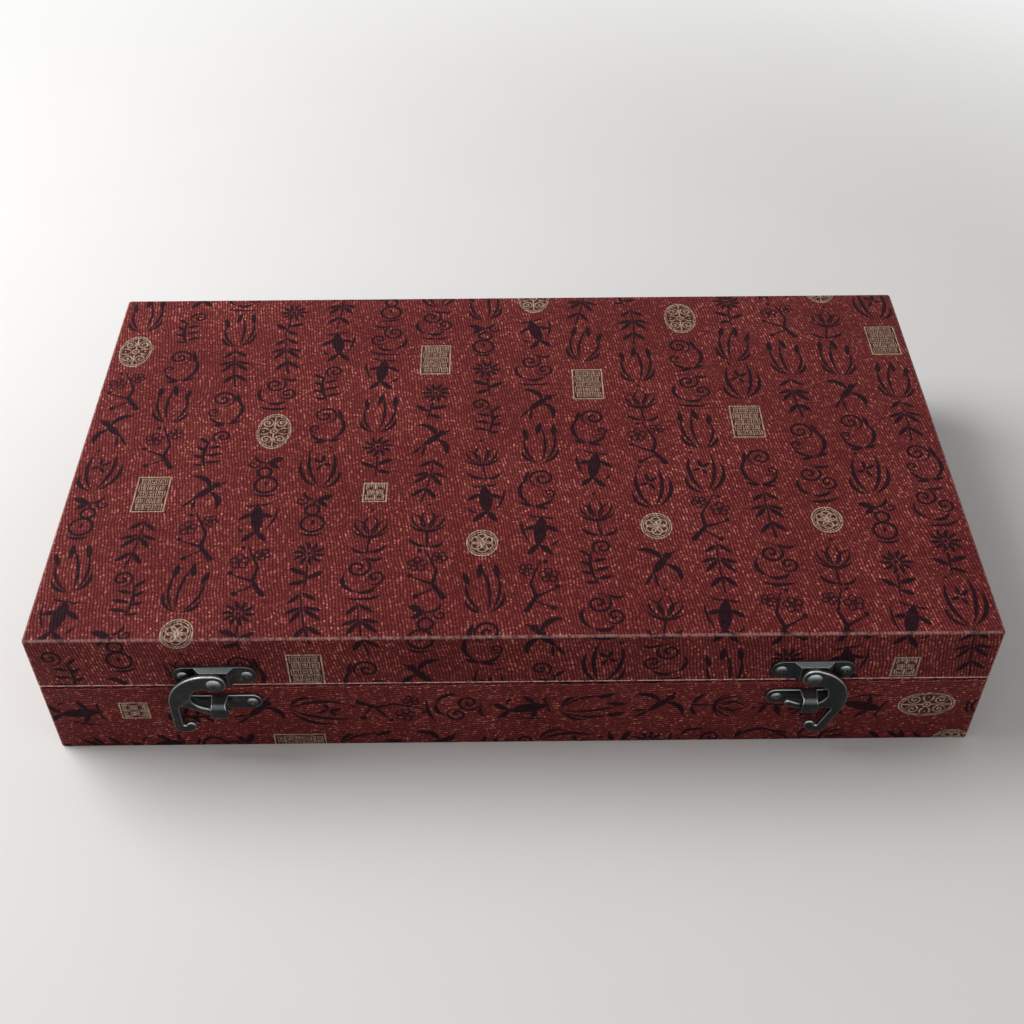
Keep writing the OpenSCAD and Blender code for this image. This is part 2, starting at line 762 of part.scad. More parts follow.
latch_screws();
lid_hinge_leaves();
lid_hinge_screws();
left_hook();
right_hook();
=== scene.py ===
import json
import math
import random
from functools import partialmethod
import bmesh
import bpy
from mathutils import Matrix, Vector, noise as ripples

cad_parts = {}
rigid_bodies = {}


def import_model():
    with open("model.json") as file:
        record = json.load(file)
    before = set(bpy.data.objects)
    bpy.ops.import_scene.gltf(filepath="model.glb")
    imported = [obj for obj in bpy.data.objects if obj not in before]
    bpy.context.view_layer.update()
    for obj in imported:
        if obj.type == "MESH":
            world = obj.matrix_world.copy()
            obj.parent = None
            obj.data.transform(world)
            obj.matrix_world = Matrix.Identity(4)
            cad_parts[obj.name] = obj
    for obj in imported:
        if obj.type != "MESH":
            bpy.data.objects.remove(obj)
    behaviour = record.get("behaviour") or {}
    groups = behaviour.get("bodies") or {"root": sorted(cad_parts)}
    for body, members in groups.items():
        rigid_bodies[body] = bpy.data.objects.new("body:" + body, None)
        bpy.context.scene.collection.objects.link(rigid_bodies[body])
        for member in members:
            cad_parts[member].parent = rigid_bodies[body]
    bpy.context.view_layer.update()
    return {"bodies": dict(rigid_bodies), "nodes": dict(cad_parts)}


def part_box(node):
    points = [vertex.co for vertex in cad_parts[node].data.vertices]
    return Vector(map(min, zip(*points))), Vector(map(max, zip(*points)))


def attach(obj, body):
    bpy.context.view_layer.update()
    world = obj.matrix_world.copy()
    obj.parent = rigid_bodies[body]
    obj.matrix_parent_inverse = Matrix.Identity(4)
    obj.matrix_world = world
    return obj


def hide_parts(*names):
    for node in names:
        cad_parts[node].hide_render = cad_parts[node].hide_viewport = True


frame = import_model()
mm = 0.001
nodes = frame["nodes"]
print("frame loaded,", len(nodes), "nodes")


class Recipe:  # the nodes of one finish
    def __init__(self, name, owner=None):
        self.material = owner or bpy.data.materials.new(name)
        self.material.use_nodes = True
        self.tree = self.material.node_tree
        self.tree.nodes.clear()

    def add(self, kind, links=None, **settings):
        made = self.tree.nodes.new(kind)
        for key, value in settings.items():
            setattr(made, key, value)
        for key, value in (links or {}).items():
            self.plug(value, made.inputs[key])
        return made

    def plug(self, value, socket):
        if isinstance(value, bpy.types.NodeSocket):
            self.tree.links.new(value, socket)
        else:
            socket.default_value = value

    def calc(self, operation, a, b=None, c=None, clamp=False):
        given = {i: v for i, v in enumerate((a, b, c)) if v is not None}
        return self.add("ShaderNodeMath", given, operation=operation, use_clamp=clamp).outputs[0]

    def vec(self, operation, a, b=None, scale=None):
        given = {0: a} if b is None else {0: a, 1: b}
        made = self.add("ShaderNodeVectorMath", given, operation=operation)
        if scale is not None:
            self.plug(scale, made.inputs["Scale"])
        single = operation in ("DISTANCE", "DOT_PRODUCT", "LENGTH")
        return made.outputs["Value" if single else "Vector"]

    def mix(self, factor, a, b, blend="MIX"):
        made = self.add("ShaderNodeMix", data_type="RGBA", blend_type=blend)
        for value, socket in ((factor, 0), (a, 6), (b, 7)):
            self.plug(value if isinstance(value, (float, int, bpy.types.NodeSocket)) else (*value, 1.0),
                      made.inputs[socket])
        return made.outputs[2]

    def fade(self, value, low, high, a=0.0, b=1.0, smooth=False):
        kind = "SMOOTHSTEP" if smooth else "LINEAR"
        made = self.add("ShaderNodeMapRange", {0: value, 1: low, 2: high, 3: a, 4: b},
                        interpolation_type=kind, clamp=True)
        return made.outputs[0]

    def noise(self, vector, scale, detail=2.0, rough=0.5, distortion=0.0):
        return self.add("ShaderNodeTexNoise", {"Vector": vector, "Scale": scale, "Detail": detail,
                                               "Roughness": rough, "Distortion": distortion}).outputs["Fac"]

    def grain(self, vector, stretch, detail, rough=0.5, distortion=0.0):  # noise drawn out along an axis
        return self.noise(self.vec("MULTIPLY", vector, stretch), 1.0, detail, rough, distortion)

    def ramp(self, factor, stops):
        made = self.add("ShaderNodeValToRGB", {0: factor})
        band = made.color_ramp
        while len(band.elements) < len(stops):
            band.elements.new(0.5)
        for element, (place, colour) in zip(band.elements, stops):
            element.position = place
            element.color = (*colour, 1.0)
        return made.outputs[0]

    def parts(self, vector):
        made = self.add("ShaderNodeSeparateXYZ", {0: vector})
        return made.outputs[0], made.outputs[1], made.outputs[2]

    def join(self, x=0.0, y=0.0, z=0.0):
        return self.add("ShaderNodeCombineXYZ", {0: x, 1: y, 2: z}).outputs[0]

    def place(self):  # the piece's own coordinates, in millimetres
        own = self.add("ShaderNodeTexCoord").outputs["Object"]
        return self.vec("SCALE", own, scale=1000.0)

    def map(self, name):
        return self.add("ShaderNodeUVMap", uv_map=name).outputs[0]

    def bump(self, height, depth, strength=1.0):
        made = self.add("ShaderNodeBump", {"Height": height, "Distance": depth, "Strength": strength})
        return made.outputs[0]

    def done(self, colour, roughness, normal=None, **shader):
        given = {"Base Color": colour, "Roughness": roughness}
        if not isinstance(colour, bpy.types.NodeSocket):
            given["Base Color"] = (*colour, 1.0)
        if normal is not None:
            given["Normal"] = normal
        given.update({key.replace("_", " "): value for key, value in shader.items()})
        made = self.add("ShaderNodeBsdfPrincipled", given)
        self.add("ShaderNodeOutputMaterial", {0: made.outputs[0]})
        return self.material


# short words for the sums
sums = {"times": "MULTIPLY", "timesPlus": "MULTIPLY_ADD", "plus": "ADD", "minus": "SUBTRACT",
        "most": "MAXIMUM", "least": "MINIMUM", "size": "ABSOLUTE", "part": "FRACT", "whole": "FLOOR",
        "wave": "SINE", "power": "POWER", "below": "LESS_THAN", "above": "GREATER_THAN"}
for word, operation in sums.items():
    setattr(Recipe, word, partialmethod(Recipe.calc, operation))

studio = {  # the camera is the one fitted to the photograph, in millimetres
    "cameraAt": (-2.225, -437.372, 458.770),
    "right": (0.99995, -0.00914, -0.00409),
    "down": (-0.00934, -0.70364, -0.71050),
    "forward": (0.00362, 0.71050, -0.70369),
    "lens": 48.235, "sensor": 36.0, "nearest": 0.01,
    "floorSize": 12.0,
    "floorColour": (0.79, 0.78, 0.765),
    "backColour": (1.0, 1.0, 1.0),
    "floorFade": (320.0, 900.0),
    "worldLight": 0.37,
    "lamps": {  # watts, size, place and what it points at
        "key": (12.8, 0.8, (-0.80, 0.25, 0.85), (0.0, 0.0, 0.03)),
        "fill": (1.0, 1.2, (0.5, -1.2, 0.7), (0.0, 0.0, 0.03)),
    },
}


def setStudio(s):
    scene = bpy.context.scene
    scene.view_settings.view_transform = "Standard"
    eye = bpy.data.objects.new("camera", bpy.data.cameras.new("camera"))
    eye.data.lens, eye.data.sensor_width, eye.data.clip_start = s["lens"], s["sensor"], s["nearest"]
    turn = Matrix((s["right"], [-v for v in s["down"]], [-v for v in s["forward"]])).transposed()
    eye.matrix_world = Matrix.Translation(Vector(s["cameraAt"]) * mm) @ turn.to_4x4()
    scene.collection.objects.link(eye)
    scene.camera = eye

    floor = bmesh.new()
    bmesh.ops.create_grid(floor, x_segments=1, y_segments=1, size=s["floorSize"])
    paper = Recipe("floor_paper")
    at = paper.place()
    grain = paper.noise(at, 0.02, 3.0)
    shade = paper.mix(grain, s["floorColour"], [v * 0.97 for v in s["floorColour"]])
    near = paper.add("ShaderNodeBsdfDiffuse", {"Color": shade}).outputs[0]
    far = paper.add("ShaderNodeEmission", {"Color": (*s["backColour"], 1.0)}).outputs[0]
    # far from the box the floor turns into the white background
    seen = paper.add("ShaderNodeLightPath").outputs["Is Camera Ray"]
    away = paper.fade(paper.vec("LENGTH", at), *s["floorFade"], smooth=True)
    blend = paper.add("ShaderNodeMixShader", {0: paper.times(seen, away), 1: near, 2: far}).outputs[0]
    paper.add("ShaderNodeOutputMaterial", {0: blend})
    meshObject("floor", floor, [paper.material])

    sky = Recipe("studio", bpy.data.worlds.new("studio"))  # metal and glass see the white background too
    scene.world = sky.material
    path = sky.add("ShaderNodeLightPath").outputs
    seen = sky.most(path["Is Camera Ray"], sky.most(path["Is Glossy Ray"], path["Is Transmission Ray"]))
    strength = sky.fade(seen, 0.0, 1.0, s["worldLight"], 1.0)
    glow = sky.add("ShaderNodeBackground", {0: (*s["backColour"], 1.0), 1: strength}).outputs[0]
    sky.add("ShaderNodeOutputWorld", {0: glow})

    for name, (power, size, at, aim) in s["lamps"].items():
        lamp = bpy.data.objects.new(name, bpy.data.lights.new(name, "AREA"))
        lamp.data.energy = power
        lamp.data.size = size
        lamp.location = at
        lamp.rotation_euler = (Vector(aim) - Vector(at)).to_track_quat("-Z", "Y").to_euler()
        scene.collection.objects.link(lamp)


def meshObject(name, bm, materials, smooth=None):
    data = bpy.data.meshes.new(name)
    bm.to_mesh(data)
    bm.free()
    for material in materials:
        data.materials.append(material)
    piece = bpy.data.objects.new(name, data)
    bpy.context.scene.collection.objects.link(piece)
    if smooth is not None:
        softShade(piece, smooth)
    return piece


def softShade(piece, angle):  # smooth, but sharp along edges that bend more than the angle
    data = piece.data
    data.polygons.foreach_set("use_smooth", [True] * len(data.polygons))
    bm = bmesh.new()
    bm.from_mesh(data)
    for edge in bm.edges:
        edge.smooth = len(edge.link_faces) == 2 and edge.calc_face_angle(0.0) < math.radians(angle)
    bm.to_mesh(data)
    bm.free()


def finishPiece(piece, body, slot, *replaced):
    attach(piece, body)
    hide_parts(*replaced)
    return piece


def addPiece(name, bm, materials, smooth, body, slot, *replaced):
    return finishPiece(meshObject(name, bm, materials, smooth), body, slot, *replaced)


def slide(bm, matrix):
    bmesh.ops.transform(bm, matrix=matrix, verts=bm.verts[:])


brocade = {
    "ribPitch": 1.28,      # between two ribs of the ground
    "dashLength": 1.2,     # of one float along a rib
    "slant": 0.15,         # the ribs lean a little, as in a twill
    "twill": 0.37,         # how much each rib is offset from the last
    "threadSnap": 0.30,    # figures step at this size, as woven ones do
    "threadShare": 0.40,   # how much the ribs' painted light and shade, fine yarn noise and single painted glints lighten the ground
    "fineShare": 0.26,
    "glint": 0.40,
    "groundLow": (0.019, 0.003, 0.004),
    "groundMid": (0.108, 0.0142, 0.0145),
    "groundHigh": (0.290, 0.064, 0.055),
    "groundGlint": (0.70, 0.30, 0.23),
    "ink": (0.004, 0.002, 0.004),
    "inkHigh": (0.040, 0.011, 0.016),
    "gold": (0.60, 0.48, 0.36),
    "goldLow": (0.26, 0.17, 0.11),
    "goldShade": (0.045, 0.011, 0.010),
    "backing": (0.86, 0.52, 0.47),  # pale threads where a fold is rubbed, with painted highlight along the fold
    "rimRubAndHighlight": 1.0, "foldRubAndHighlight": 0.32,
    "floatHeight": 0.13,
    "columnPitch": 23.0,   # of the columns of figures
    "goldGap": 8, "goldShare": 0.5,  # figures between two medallions at least, and the chance of one then
}


def leaf(x0, y0, x1, y1, wide):
    return ("leaf", x0, y0, x1, y1, wide)


def sweep(x0, y0, x1, y1, bulge, wide):
    return ("sweep", x0, y0, x1, y1, bulge, wide)


def stem(x0, y0, r0, x1, y1, r1):
    return ("stem", x0, y0, r0, x1, y1, r1)


def flower(x, y, size, turn=0.0):
    made = [("dot", x, y, size * 0.17)]
    for i in range(5):
        a = math.radians(turn + 72 * i)
        made.append(("ring", x + size * 0.62 * math.cos(a), y + size * 0.62 * math.sin(a), size * 0.36, 0.75))
    return made


def bloom(x, y, size, count, start):
    made = []
    for i in range(count):
        a = math.radians(start + 360 * i / count)
        made.append(sweep(x + 0.22 * size * math.cos(a), y + 0.22 * size * math.sin(a),
                          x + size * math.cos(a + 0.42), y + size * math.sin(a + 0.42), 1.0, 1.7))
    return made


def petal(x0, y0, x1, y1, bulge, line):
    return [sweep(x0, y0, x1, y1, bulge, line), sweep(x0, y0, x1, y1, -bulge, line)]


figures = {
    "bamboo": (27, [
        stem(-2.2, -13.2, 0.5, -0.6, -4.8, 0.45), stem(-0.4, -4, 0.45, 0.5, 4.2, 0.4),
        stem(0.6, 5, 0.4, 1.2, 13.2, 0.3), leaf(0.2, 4.2, -6.6, -2.4, 2.3), leaf(0.1, 5, -7.4, 2.6, 2.0),
        leaf(0.6, 4, 5.4, -3, 2.3), leaf(0.6, 5, 7.4, 2, 2.0), leaf(1, 12.6, -5, 8, 2.0),
        leaf(1.1, 12, 6, 7.2, 2.1), leaf(-0.8, -4.4, -7, -9.8, 2.3), leaf(-0.8, -4.6, 3.8, -11.2, 2.4)]),
    "orchid": (26, [
        sweep(-0.8, -12.6, -7.2, 6, 3.6, 1.9), sweep(-0.2, -12.6, -3.4, 12.4, 2.6, 1.8),
        sweep(0.4, -12.6, 5, 10.2, -3.2, 1.9), sweep(7.6, -2.4, 0.8, -12.6, 3.0, 1.8),
        leaf(0.8, 2.4, -3, 5.6, 1.9), leaf(0.9, 2.6, 1.8, 7.6, 1.9), leaf(1, 2.2, 4.8, 0.6, 1.8),
        leaf(0.8, 2, -1.6, -2.2, 1.7), ("dot", 4.2, 12, 0.8)]),
    "plum": (27, [
        stem(-6.6, -13, 1.25, -2.4, -5.8, 0.9), stem(-2.4, -5.8, 0.9, -4, 1.4, 0.6),
        stem(-4, 1.4, 0.6, 0.6, 13, 0.35), stem(-2.4, -5.8, 0.8, 5.8, -1.8, 0.3),
        *flower(3.4, 5, 3.9, 20), *flower(-5.2, 8.4, 3.2, 55), ("dot", 6.4, -1, 1.15),
        ("dot", 2.6, 12.4, 1.0), stem(-3.4, -7.6, 0.5, 3.2, -11.4, 0.4), ("dot", 4, -11.8, 1.2)]),
    "cloud": (24, [
        ("curl", -2.4, 5.0, 5.2, 3.1, 1.3, 0.0, 1), ("curl", 4.2, -0.6, 4.2, 2.9, 1.25, 2.4, -1),
        sweep(7.4, 10.2, 0.2, 10.4, 1.6, 1.7), sweep(-7.4, 2.4, -3.4, -7.6, -2.8, 1.9),
        sweep(-3.6, -7.6, 4.6, -5.2, -1.8, 2.0), sweep(-6.8, -10.6, 7.4, -9.6, -1.7, 1.9)]),
    "reed": (27, [
        sweep(-1.6, -13, -5.4, 8.2, 2.6, 1.4), sweep(-0.8, -13, 0.8, 12, 2.2, 1.4),
        sweep(0.2, -13, 6.4, 4.6, -2.6, 1.4), leaf(-6, 4.4, -5.2, 12.4, 2.6), leaf(1.6, 5.2, 0.4, 13.2, 2.5),
        leaf(5.6, 1.4, 7.4, 9, 2.4), sweep(-7.6, -2.4, -1.6, -12.4, -2.2, 1.7),
        sweep(7.4, -5.4, 0.6, -12.6, 1.9, 1.7)]),
    "swallow": (23, [
        leaf(-3.8, -5, 4.8, 5, 3.4), ("dot", 4.2, 4.4, 1.8), leaf(4.8, 4.8, 8, 6.6, 1.1),
        sweep(1.8, 1.8, -7.4, 8.8, -2.6, 2.7), sweep(1.8, 0.2, 6.8, -9.8, 2.6, 2.7),
        leaf(-3, -4, -7.4, -10.4, 1.5), leaf(-2.4, -4.2, -2.6, -11.4, 1.5)]),
    "mum": (26, [
        *bloom(0.4, 5.2, 6.8, 10, 8), ("dot", 0.4, 5.2, 0.9), stem(-0.2, -1.4, 0.55, -1.4, -12.8, 0.4),
        leaf(-0.8, -6, 6.6, -3.2, 2.7), leaf(-1, -8, -7.4, -3.8, 2.5), leaf(-1.2, -9.4, 5, -11.8, 2.3)]),
    "tendril": (26, [
        ("curl", 1.6, 5.6, 5.6, 3.2, 1.3, 3.4, 1), sweep(-4.2, 5.6, -2.2, -10.4, -4.2, 1.9),
        sweep(-2.4, -10.4, 6.6, -4.8, -2.4, 1.7), ("curl", 4.6, -3, 3.0, 2.5, 1.1, 0.6, -1),
        leaf(-6.2, 1.6, -4.2, 9.8, 2.1), leaf(-1.6, -11.4, -7.2, -9.2, 2.0), leaf(-1, -11.6, 4.8, -12, 2.0)]),
    "carp": (26, [
        leaf(-1.8, 10.8, 1.4, -6.6, 5.4), leaf(1, -5, -4.2, -11.6, 2.7), leaf(1.2, -5, 6, -10.6, 2.7),
        leaf(-2.4, 5.2, -7.8, 0.6, 2.4), leaf(0.8, 5, 6.4, 3.4, 2.3), sweep(-1.6, 10.2, 4, 12.2, -1.0, 1.2),
        sweep(-2, 10.4, -7.2, 9.4, 1.0, 1.2), sweep(4.2, -4.4, 6.8, 9.8, -1.2, 1.2),
        sweep(-6.6, -3.2, -3.2, -6, -0.9, 1.2)]),
    "gourd": (27, [
        ("ring", 0.4, -5.6, 4.6, 1.35), ("ring", -0.4, 2.2, 2.8, 1.3), stem(-0.6, 4.8, 0.5, 0.8, 8.4, 0.45),
        sweep(0.8, 8.2, -4.6, 13.2, 1.8, 1.6), leaf(1, 8, 7.6, 10.6, 3.2), leaf(1, 8.2, 5.6, 4, 2.6),
        ("curl", -5.2, 7.6, 2.9, 2.4, 1.0, 0.4, 1), sweep(-4.8, -10.4, 5.4, -10.8, -1.6, 1.5),
        leaf(0.4, -6.6, 0.4, -3, 1.3)]),
    "lotus": (25, [
        *petal(0, -2.6, 0.2, 9.2, 2.7, 1.2), *petal(-0.8, -2.6, -6.4, 6.6, 1.9, 1.15),
        *petal(0.8, -2.6, 6.6, 6.4, 1.9, 1.15), sweep(-7.6, 1.2, 7.6, 1, -4.4, 1.7),
        stem(0, -4, 0.55, -0.8, -12.4, 0.45), sweep(-0.6, -11.6, 6.8, -7.4, -1.4, 1.9),
        sweep(-7.2, -8.4, -0.8, -11.8, -1.4, 1.7), ("dot", 0, 12, 0.8)]),
    "fern": (27, [
        ("curl", 1.4, 8.4, 4.4, 2.8, 1.25, 0.6, 1), sweep(-2.8, 7.6, -0.6, -13, -2.2, 1.6),
        leaf(-3.4, 3.4, -8, 7.2, 1.9), leaf(-3.4, 0.6, 2.8, 2.4, 1.9), leaf(-3.4, -1.4, -8, 1.4, 1.9),
        leaf(-3.1, -4.2, 4, -2.2, 2.0), leaf(-3, -6, -8, -4.2, 1.9), leaf(-2.4, -8.6, 4.8, -7, 2.0),
        leaf(-2, -10.4, -6.8, -10, 1.7)]),
}
goldFigures = {  # cell length, half width and half height, and what is woven inside
    "tablet": (29, (6.8, 10.4), (3, 5)),
    "smallTablet": (19, (5.0, 5.8), (2, 3)),
    "oval": (27, (7.4, 11.4), [
        ("curl", -3.1, 5.2, 2.7, 1.6, 0.62, 0.0, 1), ("curl", 3.1, 5.2, 2.7, 1.6, 0.62, 0.5, -1),
        ("curl", -3.1, -5.2, 2.7, 1.6, 0.62, 0.0, -1), ("curl", 3.1, -5.2, 2.7, 1.6, 0.62, 0.5, 1),
        ("ring", 0, 0, 1.5, 0.6), ("dot", 0, 0, 0.5), stem(0, 2, 0.3, 0, 9.2, 0.3),
        stem(0, -2, 0.3, 0, -9.2, 0.3), sweep(-5.8, 1.6, -2, 0.6, 0.8, 0.8),
        sweep(5.8, 1.6, 2, 0.6, -0.8, 0.8), sweep(-5.8, -1.6, -2, -0.6, -0.8, 0.8),
        sweep(5.8, -1.6, 2, -0.6, 0.8, 0.8), ("dot", -4.6, 0, 0.4), ("dot", 4.6, 0, 0.4)]),
    "roundel": (19, (6.4, 7.4), [("ring", 0, 0, 0.9, 0.5)] + [
        ("ring", 2.5 * math.cos(math.radians(a)), 2.9 * math.sin(math.radians(a)), 2.0, 0.6)
        for a in range(30, 390, 60)]),
}


def strokeDistance(r, point, stroke):
    kind, given = stroke[0], stroke[1:]
    if kind == "dot":
        x, y, size = given
        return r.minus(r.vec("DISTANCE", point, (x, y, 0)), size)
    if kind == "ring":
        x, y, size, wide = given
        off = r.minus(r.vec("DISTANCE", point, (x, y, 0)), size)
        return r.minus(r.size(off), wide / 2)
    if kind == "leaf":
        x0, y0, x1, y1, wide = given
        a, b = Vector((x0, y0, 0)), Vector((x1, y1, 0))
        length = (b - a).length
        radius = (length ** 2 + wide ** 2) / (4 * wide)
        side = Vector((-(b - a).y, (b - a).x, 0)).normalized() * (radius - wide / 2)
        middle = (a + b) / 2
        far = r.most(r.vec("DISTANCE", point, middle + side), r.vec("DISTANCE", point, middle - side))
        return r.minus(far, radius)
    if kind == "sweep":
        x0, y0, x1, y1, bulge, wide = given
        a, b = Vector((x0, y0, 0)), Vector((x1, y1, 0))
        middle, half = (a + b) / 2, (b - a).length / 2
        side = Vector((-(b - a).y, (b - a).x, 0)).normalized() * (1 if bulge > 0 else -1)
        rises = (abs(bulge) + wide / 2, abs(bulge) - wide / 2)
        radii = [(half ** 2 + rise ** 2) / (2 * rise) for rise in rises]
        centres = [middle + side * (rise - radius) for rise, radius in zip(rises, radii)]
        outer = r.minus(r.vec("DISTANCE", point, centres[0]), radii[0])
        inner = r.minus(radii[1], r.vec("DISTANCE", point, centres[1]))
        return r.most(outer, inner)
    if kind == "stem":
        x0, y0, r0, x1, y1, r1 = given
        a, b = Vector((x0, y0, 0)), Vector((x1, y1, 0))
        off = r.vec("SUBTRACT", point, a)
        along = r.times(r.vec("DOT_PRODUCT", off, (b - a)), 1 / (b - a).length_squared, clamp=True)
        rest = r.vec("LENGTH", r.vec("SUBTRACT", off, r.vec("SCALE", b - a, scale=along)))
        return r.minus(rest, r.timesPlus(along, r1 - r0, r0))
    if kind == "curl":
        x, y, size, pitch, wide, start, hand = given
        off = r.vec("SUBTRACT", point, (x, y, 0))
        dx, dy, _ = r.parts(off)
        angle = r.calc("ARCTAN2", r.times(dy, float(hand)), dx)
        reach = r.vec("LENGTH", off)
        lap = r.timesPlus(angle, -1 / (2 * math.pi), start)
        turns = r.timesPlus(reach, 1 / pitch, lap)
        near = r.size(r.minus(r.part(turns), 0.5))
        line = r.timesPlus(near, pitch, -wide / 2)
        return r.most(line, r.minus(reach, size))


def figureMask(r, point, strokes, soft=0.16):
    nearest = None
    for stroke in strokes:
        here = strokeDistance(r, point, stroke)
        nearest = here if nearest is None else r.least(nearest, here)
    return r.fade(nearest, -soft, soft, 1.0, 0.0)


def keyFret(r, point, half, count):  # rows of square spirals, each turned the other way
    x, y, _ = r.parts(point)
    cellX, cellY = 2 * (half[0] - 1.0) / count[0], 2 * (half[1] - 1.0) / count[1]
    across = r.timesPlus(x, 1 / cellX, count[0] / 2)
    along = r.timesPlus(y, 1 / cellY, count[1] / 2)
    odd = r.calc("FLOORED_MODULO", r.plus(r.whole(across), r.whole(along)), 2.0)
    hand = r.timesPlus(odd, -2.0, 1.0)
    u = r.times(r.minus(r.part(across), 0.5), hand)
    v = r.minus(r.part(along), 0.5)
    box = r.most(r.size(u), r.size(v))
    right = r.above(u, v)
    up = r.above(r.plus(u, v), 0.0)
    quarter = r.timesPlus(up, r.timesPlus(right, -2.0, -1.0), r.plus(right, 2.0))
    turns = r.part(r.timesPlus(box, 5.0, r.times(quarter, 0.25)))
    return r.below(r.size(r.minus(turns, 0.5)), 0.19)


def goldMask(r, point, name):  # where the gold thread shows, and where the medallion's own ground is
    _, half, inner = goldFigures[name]
    if isinstance(inner, tuple):
        x, y, _ = r.parts(point)
        edge = r.most(r.minus(r.size(x), half[0]), r.minus(r.size(y), half[1]))
        line = keyFret(r, point, half, inner)
    else:
        reach = r.vec("LENGTH", r.vec("MULTIPLY", point, (1 / half[0], 1 / half[1], 0)))
        edge = r.times(r.minus(reach, 1.0), sum(half) / 2)
        second = r.below(r.size(r.plus(edge, 1.25)), 0.18)
        line = r.most(figureMask(r, point, inner), second)
    rim = r.below(r.size(r.plus(edge, 0.32)), 0.29)
    inside = r.below(edge, -1.0)
    gold = r.most(rim, r.times(line, inside))
    return gold, r.below(edge, 0.0)


def brocadeFinish(name, figure=None):
    b = brocade
    r = Recipe(name)
    cloth = r.map("cloth")
    wander = r.noise(cloth, 0.35, 2.0, 0.6)
    drift = r.noise(cloth, 0.05, 2.0, 0.5)
    u, v, _ = r.parts(cloth)
    lean = r.timesPlus(v, b["slant"], u)
    ribs = r.timesPlus(lean, 1 / b["ribPitch"], r.timesPlus(drift, 3.0, r.times(wander, 0.4)))
    rib = r.whole(ribs)
    across = r.power(r.size(r.wave(r.times(ribs, math.pi))), 0.8)
    start = r.add("ShaderNodeTexWhiteNoise", {1: rib}, noise_dimensions="1D").outputs["Value"]
    offset = r.timesPlus(rib, b["twill"], r.timesPlus(start, 0.5, r.times(wander, 3.0)))
    floats = r.timesPlus(v, 1 / b["dashLength"], offset)
    dash = r.size(r.wave(r.times(floats, math.pi)))
    pick = r.add("ShaderNodeTexWhiteNoise", {0: r.join(rib, r.whole(floats), 0.0)},
                 noise_dimensions="2D").outputs["Value"]
    # painted light and shade: paler along each float's crown, dark in the gaps between ribs, with painted
    # glints; the fine yarn noise and the patches are the cloth's own tone
    thread = r.times(across, r.timesPlus(dash, 0.45, 0.55))
    fine = r.fade(r.grain(cloth, (1.5, 0.8, 0.0), 2.0, 0.75), 0.3, 0.72)
    glint = r.times(r.power(pick, 3.0), r.times(thread, b["glint"]))
    light = r.timesPlus(thread, b["threadShare"], r.timesPlus(fine, b["fineShare"], glint))
    patch = r.noise(cloth, 0.018, 3.0)
    light = r.times(light, r.timesPlus(patch, 0.5, 0.75))
    # a broken pale line where the cloth is folded over an edge: the backing showing through where it is
    # rubbed, and painted highlight on the fold
    foldAway, rimAway, _ = r.parts(r.map("edge"))
    rubbedAndHighlit = r.most(r.times(r.fade(rimAway, 0.12, 0.48, 1.0, 0.0), b["rimRubAndHighlight"]),
                    r.times(r.fade(foldAway, 0.2, 0.9, 1.0, 0.0), b["foldRubAndHighlight"]))
    rubbedAndHighlit = r.times(rubbedAndHighlit, r.fade(r.noise(cloth, 0.42, 3.0, 0.75), 0.34, 0.56))
    ground = r.ramp(light, [(0.0, b["groundLow"]), (0.38, b["groundMid"]), (0.7, b["groundHigh"]),
                            (1.0, b["groundGlint"])])
    height = thread
    if figure is None:
        colour, rough = ground, r.fade(thread, 0.0, 1.0, 0.62, 0.42)
    else:
        step = b["threadSnap"]
        point = r.vec("ADD", r.vec("SNAP", r.map("figure"), (step, step, step)), (step / 2,) * 3)
        point = r.vec("MULTIPLY", point, (1, 1, 0))
        if figure in goldFigures:
            gold, inside = goldMask(r, point, figure)
            under = r.mix(r.times(inside, 0.7), ground, b["goldShade"])
            worn = r.times(gold, r.fade(pick, 0.0, 0.3, 0.55, 1.0))
            # the gold takes the ground's painted light and shade
            colour = r.mix(worn, under, r.mix(r.fade(light, 0.1, 0.9), b["goldLow"], b["gold"]))
            height = r.timesPlus(gold, 0.7, thread)
            rough = r.fade(gold, 0.0, 1.0, 0.5, 0.38)
        else:
            mask = figureMask(r, point, figures[figure][1])
            worn = r.times(mask, r.fade(pick, 0.0, 0.12, 0.8, 1.0))
            # the ink takes the same painted light and shade
            ink = r.mix(r.fade(light, 0.1, 0.9), b["ink"], b["inkHigh"])
            colour = r.mix(worn, ground, ink)
            height = r.timesPlus(mask, 0.35, thread)
            rough = r.fade(mask, 0.0, 1.0, 0.5, 0.56)
    colour = r.mix(rubbedAndHighlit, colour, b["backing"])
    normal = r.bump(height, b["floatHeight"] * mm, 0.8)
    return r.done(colour, rough, normal, Specular_IOR_Level=0.035, Sheen_Weight=0.015,
                  Sheen_Roughness=0.4, Sheen_Tint=(1.0, 0.35, 0.3, 1.0))


weaves = {"plain": brocadeFinish("brocade_ground")}
for name in [*figures, *goldFigures]:
    weaves[name] = brocadeFinish("brocade_" + name, name)
print("brocade finishes:", len(weaves))

sides = ("front", "back", "left", "right")

# the covers are cut flat and folded over the boards, as the real ones are
cover = {
    "halfX": 184.0, "halfY": 107.0, "corner": 1.6, "cornerSteps": 4,
    "rimRound": 0.9, "thick": 0.45, "liningFace": 6.2, "turnIn": 5.7,
    "lidTop": 66.0, "lidRim": 38.4, "baseRim": 38.0, "baseLow": 0.03, "underTurn": 2.6,
    # the figures' layout: seed, then where the columns lie across and where they start and end
    "lidPlan": (60, -230.0, 230.0, -175.0, 175.0), "basePlan": (40, -31.0, 61.0, -800.0, 800.0),
    "around": {"front": 0.0, "right": 291.0, "left": -291.0, "back": 582.0},  # each side's middle on the base
    "baseRimWearAndHighlight": 0.36,  # the base's rim gets less rub and painted highlight than the lid's
}


